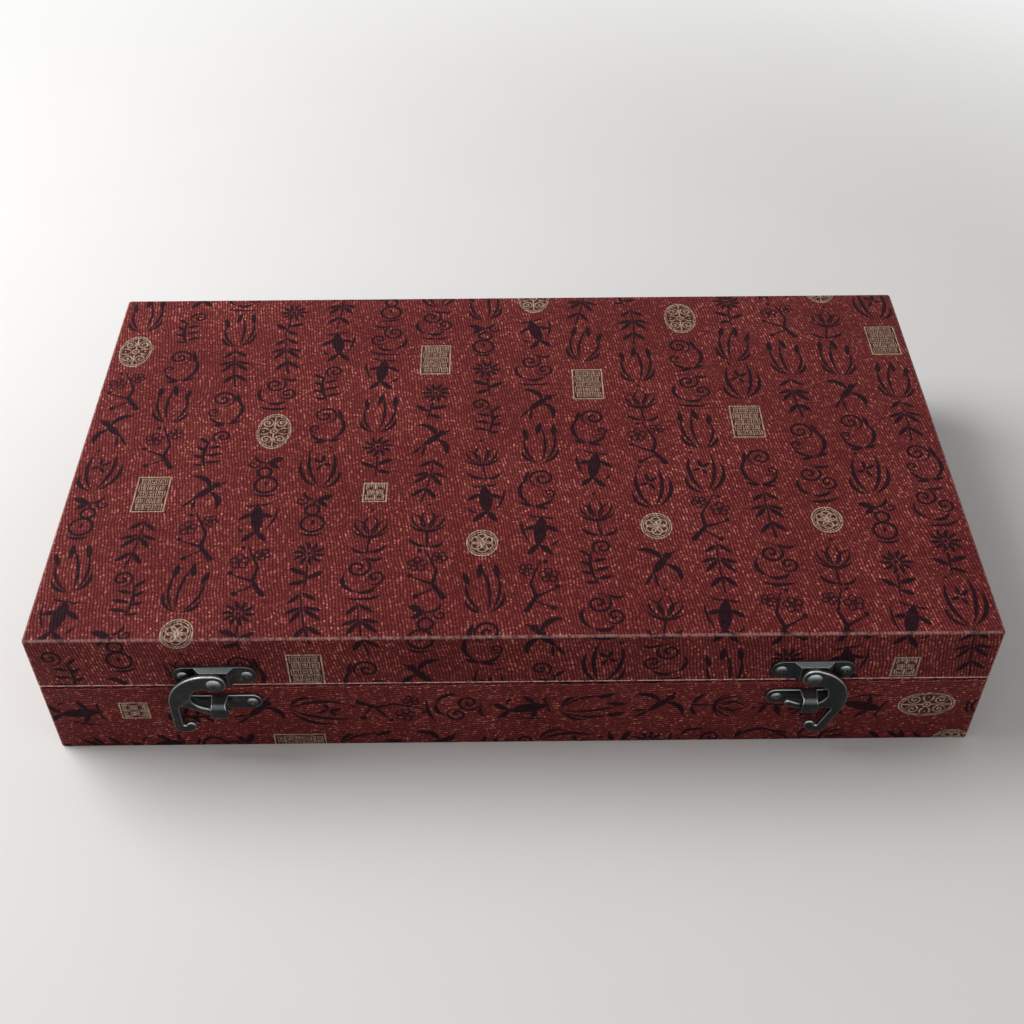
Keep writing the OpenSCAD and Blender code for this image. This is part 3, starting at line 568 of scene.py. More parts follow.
def roundedPath(points, radii, steps=4):  # a bent line through the corner points, each rounded
    path = [Vector(points[0])]
    for before, corner, after, radius in zip(points, points[1:], points[2:], radii):
        before, corner, after = Vector(before), Vector(corner), Vector(after)
        a, b = (before - corner).normalized(), (after - corner).normalized()
        half = a.angle(b) / 2
        start, end = corner + a * radius / math.tan(half), corner + b * radius / math.tan(half)
        centre = corner + (a + b).normalized() * radius / math.sin(half)
        for i in range(steps + 1):
            t = i / steps
            spoke = (start - centre).lerp(end - centre, t)
            path.append(centre + spoke.normalized() * radius)
    path.append(Vector(points[-1]))
    return path


def lengthsOf(path):
    run = [0.0]
    for a, b in zip(path, path[1:]):
        run.append(run[-1] + (b - a).length)
    return run


def alongPath(path, run, t):
    for a, b, s0, s1 in zip(path, path[1:], run, run[1:]):
        if t <= s1 + 1e-9:
            return a.lerp(b, min(max((t - s0) / max(s1 - s0, 1e-9), 0.0), 1.0))
    return path[-1].copy()


def cut(bm, faces, axis, value):
    geom = set(faces)
    for face in faces:
        geom.update(face.edges)
        geom.update(face.verts)
    normal = Vector((1, 0, 0)) if axis == 0 else Vector((0, 1, 0))
    # what lies within a thousandth of the line is on it, or the cut would leave a face without width
    bmesh.ops.bisect_plane(bm, geom=list(geom), dist=1e-3, plane_co=normal * value, plane_no=normal)


def planFigures(seed, low, high, start, end):
    # columns of figures from low to high across, each filled from start to end along
    draw = random.Random(seed)
    pitch = brocade["columnPitch"]
    columns, x, since, golds = [], low, 0, 0
    while x < high:
        y = start - draw.uniform(0, 24)
        cells, last = [], []
        while y < end:
            since += 1
            if since > brocade["goldGap"] and draw.random() < brocade["goldShare"]:
                name = ("tablet", "roundel", "smallTablet", "oval")[golds % 4]
                since, golds = 0, golds + 1
            else:
                name = draw.choice([n for n in figures if n not in last])
            long = (figures.get(name) or goldFigures[name])[0] + draw.uniform(0.0, 2.0)
            cells.append((y, y + long, name, draw.choice((-1, 1)), draw.uniform(-0.9, 0.9),
                          draw.uniform(-0.13, 0.13)))  # start, end, figure, hand, shift and turn
            last, y = (last + [name])[-4:], y + long
        columns.append((x, x + pitch, cells))
        x += pitch
    return columns


def cutFigures(bm, columns, swap):
    # swap: columns run across the sheet instead of along it
    a, b = (1, 0) if swap else (0, 1)
    for value in [columns[0][0]] + [high for low, high, cells in columns]:
        cut(bm, bm.faces[:], a, value)
    for low, high, cells in columns:
        for start, *_ in cells:
            inside = [f for f in bm.faces if low < f.calc_center_median()[a] < high]
            if inside:
                cut(bm, inside, b, start)


def dressFigures(bm, columns, swap, used, away):
    cloth = bm.loops.layers.uv.new("cloth")
    edge = bm.loops.layers.uv.new("edge")
    own = bm.loops.layers.uv.new("figure")
    a, b = (1, 0) if swap else (0, 1)
    for face in bm.faces:
        middle = face.calc_center_median()
        found = None
        for low, high, cells in columns:
            if low < middle[a] < high:
                for start, end, name, hand, shift, turn in cells:
                    if start < middle[b] < end:
                        found = ((low + high) / 2 + shift, (start + end) / 2, name, hand, turn)
        name = found[2] if found else "plain"
        if name not in used:
            used.append(name)
        face.material_index = used.index(name)
        for loop in face.loops:
            across, along = loop.vert.co[a], loop.vert.co[b]
            loop[cloth].uv = (across, along)
            loop[edge].uv = away(loop.vert.co)
            if found:
                spot = Vector(((across - found[0]) * found[3], along - found[1]))
                loop[own].uv = spot if name in goldFigures else Matrix.Rotation(found[4], 2) @ spot


def flapPoint(side, reach, t, path, run):
    # reach: along the flap's edge from its middle; t: down from the fold line
    c, r = cover, cover["corner"]
    inset, z = alongPath(path, run, t)
    half, depth = (c["halfX"], c["halfY"]) if side in ("front", "back") else (c["halfY"], c["halfX"])
    way = 1 if reach > 0 else -1
    flat = half - r
    if abs(reach) <= flat:
        along, out = min(abs(reach), half - max(inset, 0)) if inset > r else abs(reach), depth - inset
    elif inset < r:
        a = min((abs(reach) - flat) / r, math.pi / 4)
        along, out = flat + (r - inset) * math.sin(a), depth - r + (r - inset) * math.cos(a)
    else:
        along, out = half - inset, depth - inset
    along *= way
    return {"front": (along, -out, z), "back": (along, out, z),
            "left": (-out, along, z), "right": (out, along, z)}[side]


def topPoint(x, y):
    c = cover
    r = c["corner"]
    dx, dy = max(abs(x) - (c["halfX"] - r), 0.0), max(abs(y) - (c["halfY"] - r), 0.0)
    reach = math.hypot(dx, dy)
    if reach < 1e-9:
        return x, y, c["lidTop"]
    a = min(reach / r, math.pi / 2)
    out = r * math.sin(a)
    px = math.copysign(min(abs(x), c["halfX"] - r) + out * dx / reach, x)
    py = math.copysign(min(abs(y), c["halfY"] - r) + out * dy / reach, y)
    return px, py, c["lidTop"] - r + r * math.cos(a)


def thicken(bm, thick):
    bmesh.ops.recalc_face_normals(bm, faces=bm.faces[:])
    bmesh.ops.solidify(bm, geom=bm.faces[:], thickness=thick * mm)


def cutFolds(bm, across, bends, middle, half):  # at the bends, round the corners and at the mitres
    c, steps = cover, cover["cornerSteps"] // 2
    for value in bends:
        cut(bm, bm.faces[:], 1 - across, value)
    reaches = [half + c["corner"] * math.pi / 4 * i / steps for i in range(steps)]
    for reach in reaches + [half + c["corner"] - c["liningFace"]]:
        for sign in (-1, 1):
            cut(bm, bm.faces[:], across, middle + sign * reach)


def closeCover(name, bm, body, node, used, point):
    # folds the flat cloth and gives it its thickness
    for vert in bm.verts:
        vert.co = Vector(point(vert.co.x, vert.co.y)) * mm
    bmesh.ops.remove_doubles(bm, verts=bm.verts[:], dist=2e-6)
    bmesh.ops.dissolve_degenerate(bm, dist=1e-6, edges=bm.edges[:])
    thicken(bm, cover["thick"])
    piece = addPiece(name, bm, [weaves[n] for n in used], 35.0, body, "brocade", node)


def flatPatch(x0, x1, y0, y1):
    bm = bmesh.new()
    bmesh.ops.create_grid(bm, x_segments=1, y_segments=1, size=0.5)
    for vert in bm.verts:
        vert.co.x = x0 if vert.co.x < 0 else x1
        vert.co.y = y0 if vert.co.y < 0 else y1
    return bm


def makeLidCover():
    c = cover
    r = c["corner"]
    fold = r * math.pi / 2
    flatX, flatY = c["halfX"] - r, c["halfY"] - r
    plan = planFigures(*c["lidPlan"])

    top = flatPatch(-flatX - fold, flatX + fold, -flatY - fold, flatY + fold)
    bmesh.ops.bevel(top, geom=top.verts[:], offset=fold, segments=c["cornerSteps"] * 2, profile=0.5,
                    affect="VERTICES", material=-1)
    for i in range(c["cornerSteps"]):
        for axis, flat in enumerate((flatX, flatY)):
            for sign in (1, -1):
                cut(top, top.faces[:], axis, sign * (flat + fold * i / c["cornerSteps"]))
    used = []
    cutFigures(top, plan, False)
    middle = fold / 2
    dressFigures(top, plan, False, used, lambda co: (min(abs(abs(co.x) - flatX - middle),
                                                         abs(abs(co.y) - flatY - middle)), 9.0))
    closeCover("lid_cover_top", top, "lid", "lid_brocade", used, topPoint)

    path = roundedPath([(0, c["lidTop"] - r), (0, c["lidRim"]), (c["liningFace"], c["lidRim"]),
                        (c["liningFace"], c["lidRim"] + c["turnIn"])], [c["rimRound"], 0.5])
    run = lengthsOf(path)
    for side in sides:
        long = side in ("front", "back")
        half, depth = (flatX, flatY) if long else (flatY, flatX)
        way = -1 if side in ("front", "left") else 1
        wide = half + r * math.pi / 4
        near, far = sorted((way * (depth + fold), way * (depth + fold + run[-1])))
        flap = flatPatch(-wide, wide, near, far) if long else flatPatch(near, far, -wide, wide)
        cutFolds(flap, 0 if long else 1, [way * (depth + fold + t) for t in run[1:-1]], 0.0, half)
        used = []
        cutFigures(flap, plan, False)
        rim = run[1]
        dressFigures(flap, plan, False, used, lambda co: (
            wide - abs(co.x if long else co.y), abs(way * (co.y if long else co.x) - depth - fold - rim)))

        def point(x, y, side=side, long=long, way=way, depth=depth):
            reach, away = (x, y) if long else (y, x)
            return flapPoint(side, reach, way * away - depth - fold, path, run)
        closeCover("lid_cover_" + side, flap, "lid", "lid_brocade", used, point)


def makeBaseCover():
    c = cover
    r = c["corner"]
    path = roundedPath([(c["liningFace"], c["baseRim"] - c["turnIn"]), (c["liningFace"], c["baseRim"]),
                        (0, c["baseRim"]), (0, c["baseLow"]), (c["underTurn"], c["baseLow"])],
                       [0.5, c["rimRound"], 0.5])
    run = lengthsOf(path)
    # heights on the outside face are measured down from the rim; a column is 23 mm tall
    plan = planFigures(*c["basePlan"])
    for side in sides:
        long = side in ("front", "back")
        half = (c["halfX"] if long else c["halfY"]) - r
        wide = half + r * math.pi / 4
        middle = c["around"][side]
        strip = flatPatch(middle - wide, middle + wide, 0.0, run[-1])
        cutFolds(strip, 0, run[1:-1], middle, half)
        used = []
        cutFigures(strip, plan, True)
        rim = run[2 + 2 * c["cornerSteps"]]
        dressFigures(strip, plan, True, used, lambda co: (wide - abs(co.x - middle),
                                                          abs(co.y - rim) + c["baseRimWearAndHighlight"]))
        flip = -1 if side in ("back", "left") else 1

        def point(x, y, side=side, middle=middle, flip=flip):
            return flapPoint(side, (x - middle) * flip, y, path, run)
        closeCover("base_cover_" + side, strip, "base", "base_brocade", used, point)


setStudio(studio)
makeLidCover()
makeBaseCover()
print("covers made")


def bodyOf(node):
    return next(name for name, empty in frame["bodies"].items() if empty == nodes[node].parent)


def mergedCopy(node):  # a CAD node's mesh comes as loose triangles
    bm = bmesh.new()
    bm.from_mesh(bpy.data.objects[node].data)
    bmesh.ops.remove_doubles(bm, verts=bm.verts[:], dist=2e-6)
    bmesh.ops.dissolve_limit(bm, angle_limit=math.radians(1.0), verts=bm.verts[:], edges=bm.edges[:])
    return bm


def bevelEdges(bm, edges, width, segments, clamp=False):
    return bmesh.ops.bevel(bm, geom=edges, offset=width * mm, segments=segments, profile=0.5,
                           affect="EDGES", material=-1, clamp_overlap=clamp)["faces"]


def breakEdges(bm, width, segments, clamp):  # rounds the sharp edges, marks them as rubbed and paints highlight on what faces up
    rubAndHighlight = bm.loops.layers.float_color.new("rubAndHighlight")
    sharp = [e for e in bm.edges if len(e.link_faces) == 2
             and e.calc_face_angle_signed(0.0) > math.radians(bronze["sharp"])]
    new = set(bevelEdges(bm, sharp, width, segments, clamp))
    bmesh.ops.dissolve_degenerate(bm, dist=2e-6, edges=bm.edges[:])
    new = {face for face in new if face.is_valid}
    bm.normal_update()
    for face in bm.faces:  # painted highlight where a face looks up and out; the new bevel faces also get some rub
        lightFacing = max(0.0, 0.85 * face.normal.z - 0.2 * face.normal.y - 0.3)
        share = min(1.0, 0.16 + 1.5 * lightFacing) if face in new else 0.32 * lightFacing
        for loop in face.loops:
            loop[rubAndHighlight] = (share,) * 4


def paintDomeHighlights(bm):  # painted highlight on the domed heads, strongest towards their upper rims; faces turned away from the front, such as the slot walls, get none
    rubAndHighlight = bm.loops.layers.float_color["rubAndHighlight"]
    bm.normal_update()
    for face in bm.faces:
        for loop in face.loops:
            lean, up = abs(loop.vert.normal.y), max(0.0, loop.vert.normal.z)
            share = min(0.85, 2.6 * (1.0 - lean)) * min(1.0, 0.15 + 1.5 * up)
            loop[rubAndHighlight] = (share if abs(face.normal.y) > 0.5 else 0.0,) * 4


def roundLoopEnd(bm):  # the keeper's loop narrows towards its bend, and its free end is cut round
    low, out = min(v.co.z for v in bm.verts), min(v.co.y for v in bm.verts)
    loop = [v for v in bm.verts if v.co.y < out + 5.0 * mm]
    top, middle = max(v.co.z for v in loop), sum(v.co.x for v in loop) / len(loop)
    for vert in loop:
        share = min(1.0, (top - vert.co.z) / (2.4 * mm))
        vert.co.x = middle + (vert.co.x - middle) * (0.80 + 0.20 * share)
    corners = [e for e in bm.edges if all(v.co.z < low + 1e-5 for v in e.verts)
               and abs(e.verts[0].co.y - e.verts[1].co.y) > 0.5 * mm]
    bevelEdges(bm, corners, 1.9, 6)


hookFoot = {  # the tail of each hook ends in a full, rounded foot: its middle (x, z) and its filling out
    "left_hook": (-128.9, 18.6), "right_hook": (118.0, 15.6),
    "swell": 0.62, "reach": 6.4, "soft": 3.2,
}


def fillFoot(bm, node):
    f = hookFoot
    x, z = f[node]
    moves = []
    for vert in bm.verts:
        away = math.hypot(vert.co.x / mm - x, vert.co.z / mm - z)
        share = min(max((f["reach"] - away) / f["soft"], 0.0), 1.0)
        out = sum((face.normal for face in vert.link_faces if abs(face.normal.y) < 0.5), Vector())
        if share > 0 and out.length > 0:
            moves.append((vert, out.normalized() * f["swell"] * share * mm))
    for vert, move in moves:
        vert.co += move


bronze = {
    "dark": (0.014, 0.017, 0.021),
    "brown": (0.036, 0.028, 0.024),
    # pale metal of rubbed edges and of painted highlights
    "rubbedAndHighlit": (0.60, 0.63, 0.64),
    "pit": (0.012, 0.013, 0.014),
    "grainDepth": 0.035,
    "sharp": 32.0,  # an edge that bends more than this is broken
}


def bronzeFinish():
    b = bronze
    r = Recipe("antique_bronze")
    at = r.place()
    rubAndHighlight = r.add("ShaderNodeAttribute", attribute_name="rubAndHighlight").outputs["Fac"]
    cloud = r.noise(at, 0.28, 4.0, 0.6)
    grain = r.noise(at, 2.6, 3.0, 0.6)
    pits = r.fade(r.noise(at, 1.1, 3.0, 0.65), 0.62, 0.74)
    colour = r.mix(r.fade(cloud, 0.42, 0.68), b["dark"], b["brown"])
    # rubbed edges, and painted highlights on what faces up and on the dome rims
    worn = r.times(rubAndHighlight, r.fade(grain, 0.25, 0.55, 0.45, 1.0))
    worn = r.most(worn, r.times(r.fade(cloud, 0.6, 0.8), 0.10))
    colour = r.mix(worn, colour, b["rubbedAndHighlit"])
    colour = r.mix(r.times(pits, 0.6), colour, b["pit"])
    rough = r.timesPlus(worn, -0.14, r.fade(cloud, 0.3, 0.7, 0.40, 0.52))
    height = r.timesPlus(pits, -0.5, grain)
    return r.done(colour, rough, r.bump(height, b["grainDepth"] * mm, 0.7), Metallic=0.92)


bronzeMetal = bronzeFinish()
metalPieces = {  # node: width of its broken edge
    "left_latch_plate": 0.28, "right_latch_plate": 0.28, "latch_rivets": 0.16, "latch_screws": 0.08,
    "left_keeper": 0.30, "right_keeper": 0.30, "keeper_screws": 0.08, "left_hook": 0.55, "right_hook": 0.55,
    "base_hinge_leaves": 0.2, "lid_hinge_leaves": 0.2, "hinge_pins": 0.2,
    "base_hinge_screws": 0.08, "lid_hinge_screws": 0.08,
}
for node, width in metalPieces.items():
    isHook = "hook" in node
    metal = mergedCopy(node)
    if "keeper" in node and "screw" not in node:
        roundLoopEnd(metal)
    if isHook:
        fillFoot(metal, node)
    breakEdges(metal, width, 4 if isHook else 3, not (isHook or "keeper" in node))
    if "screw" in node or "rivet" in node:
        paintDomeHighlights(metal)
    addPiece(node + "_metal", metal, [bronzeMetal], 30.0, bodyOf(node), "bronze", node)
print("metal pieces:", len(metalPieces))


def boxMesh(low, high):
    bm = bmesh.new()
    bmesh.ops.create_cube(bm, size=1.0)
    low, high = Vector(low), Vector(high)
    bmesh.ops.scale(bm, vec=(high - low) * mm, verts=bm.verts[:])
    bmesh.ops.translate(bm, vec=(low + high) / 2 * mm, verts=bm.verts[:])
    return bm


def roundEdges(bm, width, segments, angle=32.0):
    sharp = [e for e in bm.edges if len(e.link_faces) == 2 and e.calc_face_angle(0.0) > math.radians(angle)]
    bevelEdges(bm, sharp, width, segments, True)
    return bm


def turned(profile, steps):  # spins (radius, height) points round the z axis and maps the wall as a strip
    bm = bmesh.new()
    rail = [bm.verts.new((p[0] * mm, 0, p[1] * mm)) for p in profile]
    lines = [bm.edges.new(pair) for pair in zip(rail, rail[1:])]
    bmesh.ops.spin(bm, geom=rail + lines, cent=(0, 0, 0), axis=(0, 0, 1), angle=2 * math.pi,
                   steps=steps, use_merge=True)
    bmesh.ops.remove_doubles(bm, verts=bm.verts[:], dist=2e-6)
    bmesh.ops.recalc_face_normals(bm, faces=bm.faces[:])
    wrap = bm.loops.layers.uv.new("wrap")
    reach = max(p[0] for p in profile)
    for face in bm.faces:
        middle = face.calc_center_median()
        own = math.atan2(middle.y, middle.x)
        for loop in face.loops:
            co = loop.vert.co
            a = math.atan2(co.y, co.x) if math.hypot(co.x, co.y) > 1e-6 else own
            a += 2 * math.pi * round((own - a) / (2 * math.pi))
            loop[wrap].uv = (a * reach, co.z / mm)
    return bm


def join(parts, matrices):
    whole = bmesh.new()
    for bm, matrix in zip(parts, matrices):
        slide(bm, matrix)
        data = bpy.data.meshes.new("part")
        bm.to_mesh(data)
        bm.free()
        whole.from_mesh(data)
        bpy.data.meshes.remove(data)
    return whole


def shift(x, y, z=0.0):
    return Matrix.Translation(Vector((x, y, z)) * mm)


# silk satin on the linings, the lid's pad and the soft insert
satin = {
    "colour": (0.70, 0.43, 0.075),
    "deep": (0.55, 0.30, 0.042),
    "pale": (0.80, 0.55, 0.16),
    "threadPitch": 0.36,
    "threadDepth": 0.028,
    "creaseDepth": 0.16,
}


def satinFinish(name, along):  # along: the axis that the long floats follow
    b = satin
    r = Recipe(name)
    at = r.place()
    streak = r.grain(at, (0.16, 4.2, 4.2) if along == 0 else (4.2, 0.16, 4.2), 1.0)
    crease = r.grain(at, (0.10, 0.055, 0.10) if along == 0 else (0.055, 0.10, 0.10), 3.0, 0.55, 0.7)
    x, y, z = r.parts(at)
    warp = r.plus(y if along == 0 else x, z)
    run = x if along == 0 else y
    thread = r.size(r.wave(r.times(warp, math.pi / b["threadPitch"])))
    weft = r.timesPlus(run, math.pi / (5 * b["threadPitch"]), r.times(warp, 2.3 / b["threadPitch"]))
    weft = r.size(r.wave(weft))
    stitch = r.times(thread, r.fade(weft, 0.0, 0.35))
    # painted light and shade: the colour is paler on the crests of the creases and on the stitches, which
    # also bend the normals, and deeper in the creases; the streaks are the silk's own tone
    tone = r.timesPlus(streak, 0.34, r.timesPlus(crease, 0.34, r.times(stitch, 0.3)))
    colour = r.ramp(tone, [(0.22, b["deep"]), (0.5, b["colour"]), (0.82, b["pale"])])
    fine = r.bump(stitch, b["threadDepth"] * mm, 0.5)
    folds = r.add("ShaderNodeBump", {"Height": crease, "Distance": b["creaseDepth"] * 6 * mm,
                                     "Strength": 0.55, "Normal": fine}).outputs[0]
    return r.done(colour, r.fade(stitch, 0.0, 1.0, 0.44, 0.32), folds,
                  Sheen_Weight=0.35, Sheen_Roughness=0.3, Sheen_Tint=(1.0, 0.88, 0.55, 1.0),
                  Specular_IOR_Level=0.45)


satinAcross = satinFinish("satin_across", 0)
satinAlong = satinFinish("satin_along", 1)

lining = {
    "faceX": 178.3, "faceY": 101.3,  # inner face of the boards
    "base": (4.0, 32.6), "lid": (43.9, 61.3),
    "thick": 0.4, "ripple": 0.09,
}


def makeLining(part, node):
    low, high = lining[part]
    for side in sides:
        long = side in ("front", "back")
        half = lining["faceX"] - 0.03 if long else lining["faceY"] - lining["thick"] - 0.08
        depth = lining["faceY"] if long else lining["faceX"]
        way = -1 if side in ("front", "left") else 1
        bm = bmesh.new()
        bmesh.ops.create_grid(bm, x_segments=72 if long else 40, y_segments=6, size=0.5)
        for vert in bm.verts:
            t, z = vert.co.x * 2 * half, low + (vert.co.y + 0.5) * (high - low)
            # glued satin shows faint ripples where it was pulled up
            pull = math.sin(t * 0.21 + z * 0.08) * math.sin(t * 0.043 + 1.7 * way)
            belly = 1 - (2 * vert.co.y) ** 2
            out = way * (depth - lining["thick"] / 2 + lining["ripple"] * pull * belly)
            vert.co = Vector((t, out, z) if long else (out, t, z)) * mm
        thicken(bm, lining["thick"] / 2)
        piece = addPiece(part + "_lining_" + side, bm, [satinAcross if long else satinAlong], 60.0,
                         part, "satin", node)


makeLining("base", "base_lining")
makeLining("lid", "lid_lining")
print("linings made")

# stuffed pieces swell under cloth pressure inside the space of their CAD solids
stuffing = {
    "pressure": 4.0, "frames": 20, "stiffness": 12.0, "softening": 2,
    "pleat": 0.75, "pleatLength": 8.5, "dimple": 0.35,
    "insert_bed": {"voxel": 5.0, "inset": 0.9, "round": 2.4, "cap": 0.85, "body": "base", "along": 0},
}
for strip in ("middle", "brush_end", "inkstone", "ink_stick", "brush_rest", "seal", "spoon", "seal_cross"):
    stuffing["insert_" + strip + "_strip"] = {
        "voxel": 3.0, "inset": 0.8, "round": 2.6, "cap": 1.2, "body": "base",
        "along": 0 if strip in ("middle", "spoon", "seal_cross") else 1}


def evaluated(piece):
    seen = piece.evaluated_get(bpy.context.evaluated_depsgraph_get())
    return bpy.data.meshes.new_from_object(seen)


def makeStuffed(node, s):
    low, high = (Vector(corner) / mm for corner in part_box(node))
    inset = Vector((1, 1, 1)) * s["inset"]
    bottomUp = s["body"] == "base"  # the side that is glued down isn't inset
    start = Vector((inset.x, inset.y, 0 if bottomUp else inset.z))
    end = Vector((inset.x, inset.y, inset.z if bottomUp else 0))
    bm = roundEdges(boxMesh(low + start, high - end), s["round"], 3)
    piece = meshObject(node + "_satin", bm, [satinAcross if s["along"] == 0 else satinAlong])
    remesh = piece.modifiers.new("even", "REMESH")
    remesh.mode = "VOXEL"
    remesh.voxel_size = s["voxel"] * mm
    data = evaluated(piece)
    piece.modifiers.clear()
    piece.data = data
    glued = low.z if bottomUp else high.z
    rest = [v.co.copy() for v in data.vertices]
    held = piece.vertex_groups.new(name="held")
    held.add([v.index for v in data.vertices if abs(v.co.z / mm - glued) < 1.2], 1.0, "REPLACE")
    cloth = piece.modifiers.new("swell", "CLOTH")
    cloth.settings.use_pressure = True
    cloth.settings.uniform_pressure_force = stuffing["pressure"]
    cloth.settings.tension_stiffness = cloth.settings.compression_stiffness = stuffing["stiffness"]
    cloth.settings.vertex_group_mass = "held"
    cloth.settings.effector_weights.gravity = 0.0
    scene = bpy.context.scene
    cloth.point_cache.frame_start, cloth.point_cache.frame_end = 1, stuffing["frames"]
    for frameNumber in range(1, stuffing["frames"] + 1):
        scene.frame_set(frameNumber)
    swollen = [v.co.copy() for v in evaluated(piece).vertices]
    piece.modifiers.clear()
    scene.frame_set(1)
    for vert, was, now in zip(data.vertices, rest, swollen):
        move = now - was
        if move.length > s["cap"] * mm:
            move = move.normalized() * s["cap"] * mm
        vert.co = was + move
    bm = bmesh.new()
    bm.from_mesh(data)
    for _ in range(stuffing["softening"]):
        bmesh.ops.smooth_vert(bm, verts=bm.verts[:], factor=0.35, use_axis_x=True, use_axis_y=True,
                              use_axis_z=True)
    bm.to_mesh(data)
    bm.free()
    finer = piece.modifiers.new("finer", "SUBSURF")
    finer.levels = finer.render_levels = 1
    data = evaluated(piece)
    piece.modifiers.clear()
    piece.data = data
    pleatSatin(data, low, high, s["along"])
    data.polygons.foreach_set("use_smooth", [True] * len(data.polygons))
    if not data.materials:
        data.materials.append(satinAcross if s["along"] == 0 else satinAlong)
    finishPiece(piece, s["body"], "satin", node)


def pleatSatin(data, low, high, along):  # the cloth is tucked under, so its sides pull into small pleats
    b = stuffing
    normals = [v.normal.copy() for v in data.vertices]
    for vert, normal in zip(data.vertices, normals):
        spot = vert.co / mm
        share = min(max((spot.z - low.z) / (high.z - low.z), 0.0), 1.0)
        ends = min(spot[along] - low[along], high[along] - spot[along])
        run = spot[along] + 0.25 * spot.z + (spot[1 - along] if ends < 3.0 else 0.0)
        fold = ripples.noise(Vector((run / b["pleatLength"] * 2.0, spot[1 - along] * 0.05, share * 0.6)))
        sink = b["pleat"] * max(fold, 0.0) ** 1.2 * (1.15 - share)
        sink += b["dimple"] * max(ripples.noise(spot * 0.07), 0.0)
        spot -= normal * sink
        for axis in range(3):  # stays inside its own space
            spot[axis] = min(max(spot[axis], low[axis]), high[axis])
        vert.co = spot * mm


lidPad = {"step": 3.0, "roll": 5.0, "pull": 0.5, "pullReach": 16.0, "rise": 0.5}


def makeLidPad():  # thin wadding under satin: too thin to simulate, so it's crowned directly
    p = lidPad
    low, high = (Vector(corner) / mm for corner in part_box("lid_pad"))
    bm = boxMesh(low, high)
    for axis in (0, 1):
        along = [e for e in bm.edges if abs(e.verts[0].co[axis] - e.verts[1].co[axis]) > 0.01]
        bmesh.ops.subdivide_edges(bm, edges=along, cuts=int((high[axis] - low[axis]) / p["step"]),
                                  use_grid_fill=True)
    for vert in bm.verts:
        spot = vert.co / mm
        if spot.z > high.z - 1.0:
            continue
        away = [min(spot[i] - low[i], high[i] - spot[i]) for i in (0, 1)]
        near = min(away)
        lift = 0.4 + 0.6 * (1 - (1 - min(near / p["roll"], 1.0)) ** 2.4) ** 0.5
        side = spot.x if away[1] < away[0] else spot.y
        gather = max(ripples.noise(Vector((side / 6.5, near * 0.03, 1.0))), 0.0)
        pull = gather * math.exp(-near / p["pullReach"])
        swell = p["rise"] * ripples.noise(Vector((spot.x * 0.02, spot.y * 0.025, 4.0)))
        z = high.z - (high.z - low.z) * lift + (p["pull"] * pull + max(swell, 0.0)) * lift
        vert.co.z = min(z, high.z - 0.15) * mm
    addPiece("lid_pad_satin", bm, [satinAcross], 60.0, "lid", "satin", "lid_pad")


for node, given in stuffing.items():
    if isinstance(given, dict):
        makeStuffed(node, given)
makeLidPad()
print("stuffed pieces made")


def dressNode(node, material):
    slots = nodes[node].material_slots
    if not slots:
        nodes[node].data.materials.append(material)
    for own in slots:
        own.material = material


def boardFinish():
    r = Recipe("pressed_board")
    at = r.place()
    fibre = r.grain(at, (0.25, 0.9, 0.9), 4.0, 0.7)
    speck = r.fade(r.noise(at, 1.4, 2.0), 0.6, 0.7)
    colour = r.ramp(fibre, [(0.3, (0.30, 0.185, 0.095)), (0.7, (0.52, 0.36, 0.21))])
    colour = r.mix(r.times(speck, 0.4), colour, (0.16, 0.09, 0.045))
    return r.done(colour, 0.8, r.bump(fibre, 0.08 * mm, 0.6))


def paperFinish():
    r = Recipe("underside_paper")
    at = r.place()
    fibre = r.grain(at, (0.5, 0.12, 1.0), 5.0, 0.75, 1.2)
    tooth = r.noise(at, 1.8, 3.0, 0.7)
    colour = r.ramp(fibre, [(0.32, (0.075, 0.040, 0.026)), (0.72, (0.165, 0.098, 0.066))])
    return r.done(colour, r.fade(tooth, 0.3, 0.7, 0.75, 0.9), r.bump(tooth, 0.05 * mm, 0.7))


board = boardFinish()
for node in ["base_floor_board", "lid_top_board"] + [part + side + "_board" for part in ("base_", "lid_")
                                                     for side in sides]:
    dressNode(node, board)
dressNode("base_underside_paper", paperFinish())

# four writing brushes: bamboo handle, horn ferrule, hair tuft
brushes = {
    "top": 11.9, "left": -175.8, "frontY": -92.3, "pitch": 17.0, "seat": 0.05,
    "length": (260, 248, 238, 224), "handle": (5.2, 4.5, 4.0, 3.5),
    "ferrule": (7.0, 6.0, 5.2, 4.4), "tuft": (42, 36, 30, 26), "ferruleLength": 14.0,
    "joints": ((0.30, 0.74), (0.42, 0.83), (0.22, 0.62), (0.51,)),  # where the bamboo's rings are
}


def brushPlace(i):
    b = brushes
    tilt = math.asin((b["ferrule"][i] - b["handle"][i]) / (b["length"][i] - b["tuft"][i]))
    lie = Matrix.Rotation(math.pi / 2 + tilt, 4, "Y")
    height = b["top"] + b["ferrule"][i] + b["seat"]
    return (shift(b["left"] + b["tuft"][i], b["frontY"] + i * b["pitch"], height)
            @ lie @ shift(0, 0, -b["tuft"][i]))


def bambooFinish():
    r = Recipe("bamboo")
    wrap = r.map("wrap")
    grain = r.grain(wrap, (2.6, 0.035, 0.0), 3.0, 0.65)
    mottle = r.grain(wrap, (0.12, 0.03, 0.0), 3.0, 0.6)
    ring = r.add("ShaderNodeAttribute", attribute_name="ring").outputs["Fac"]
    colour = r.ramp(grain, [(0.32, (0.36, 0.185, 0.055)), (0.52, (0.52, 0.30, 0.105)),
                            (0.75, (0.66, 0.43, 0.19))])
    colour = r.mix(r.fade(mottle, 0.5, 0.72, 0.0, 0.55), colour, (0.24, 0.105, 0.03))
    colour = r.mix(r.times(ring, 0.8), colour, (0.11, 0.05, 0.018))
    return r.done(colour, r.fade(grain, 0.3, 0.8, 0.30, 0.42), r.bump(grain, 0.03 * mm, 0.5),
                  Coat_Weight=0.25, Coat_Roughness=0.2)


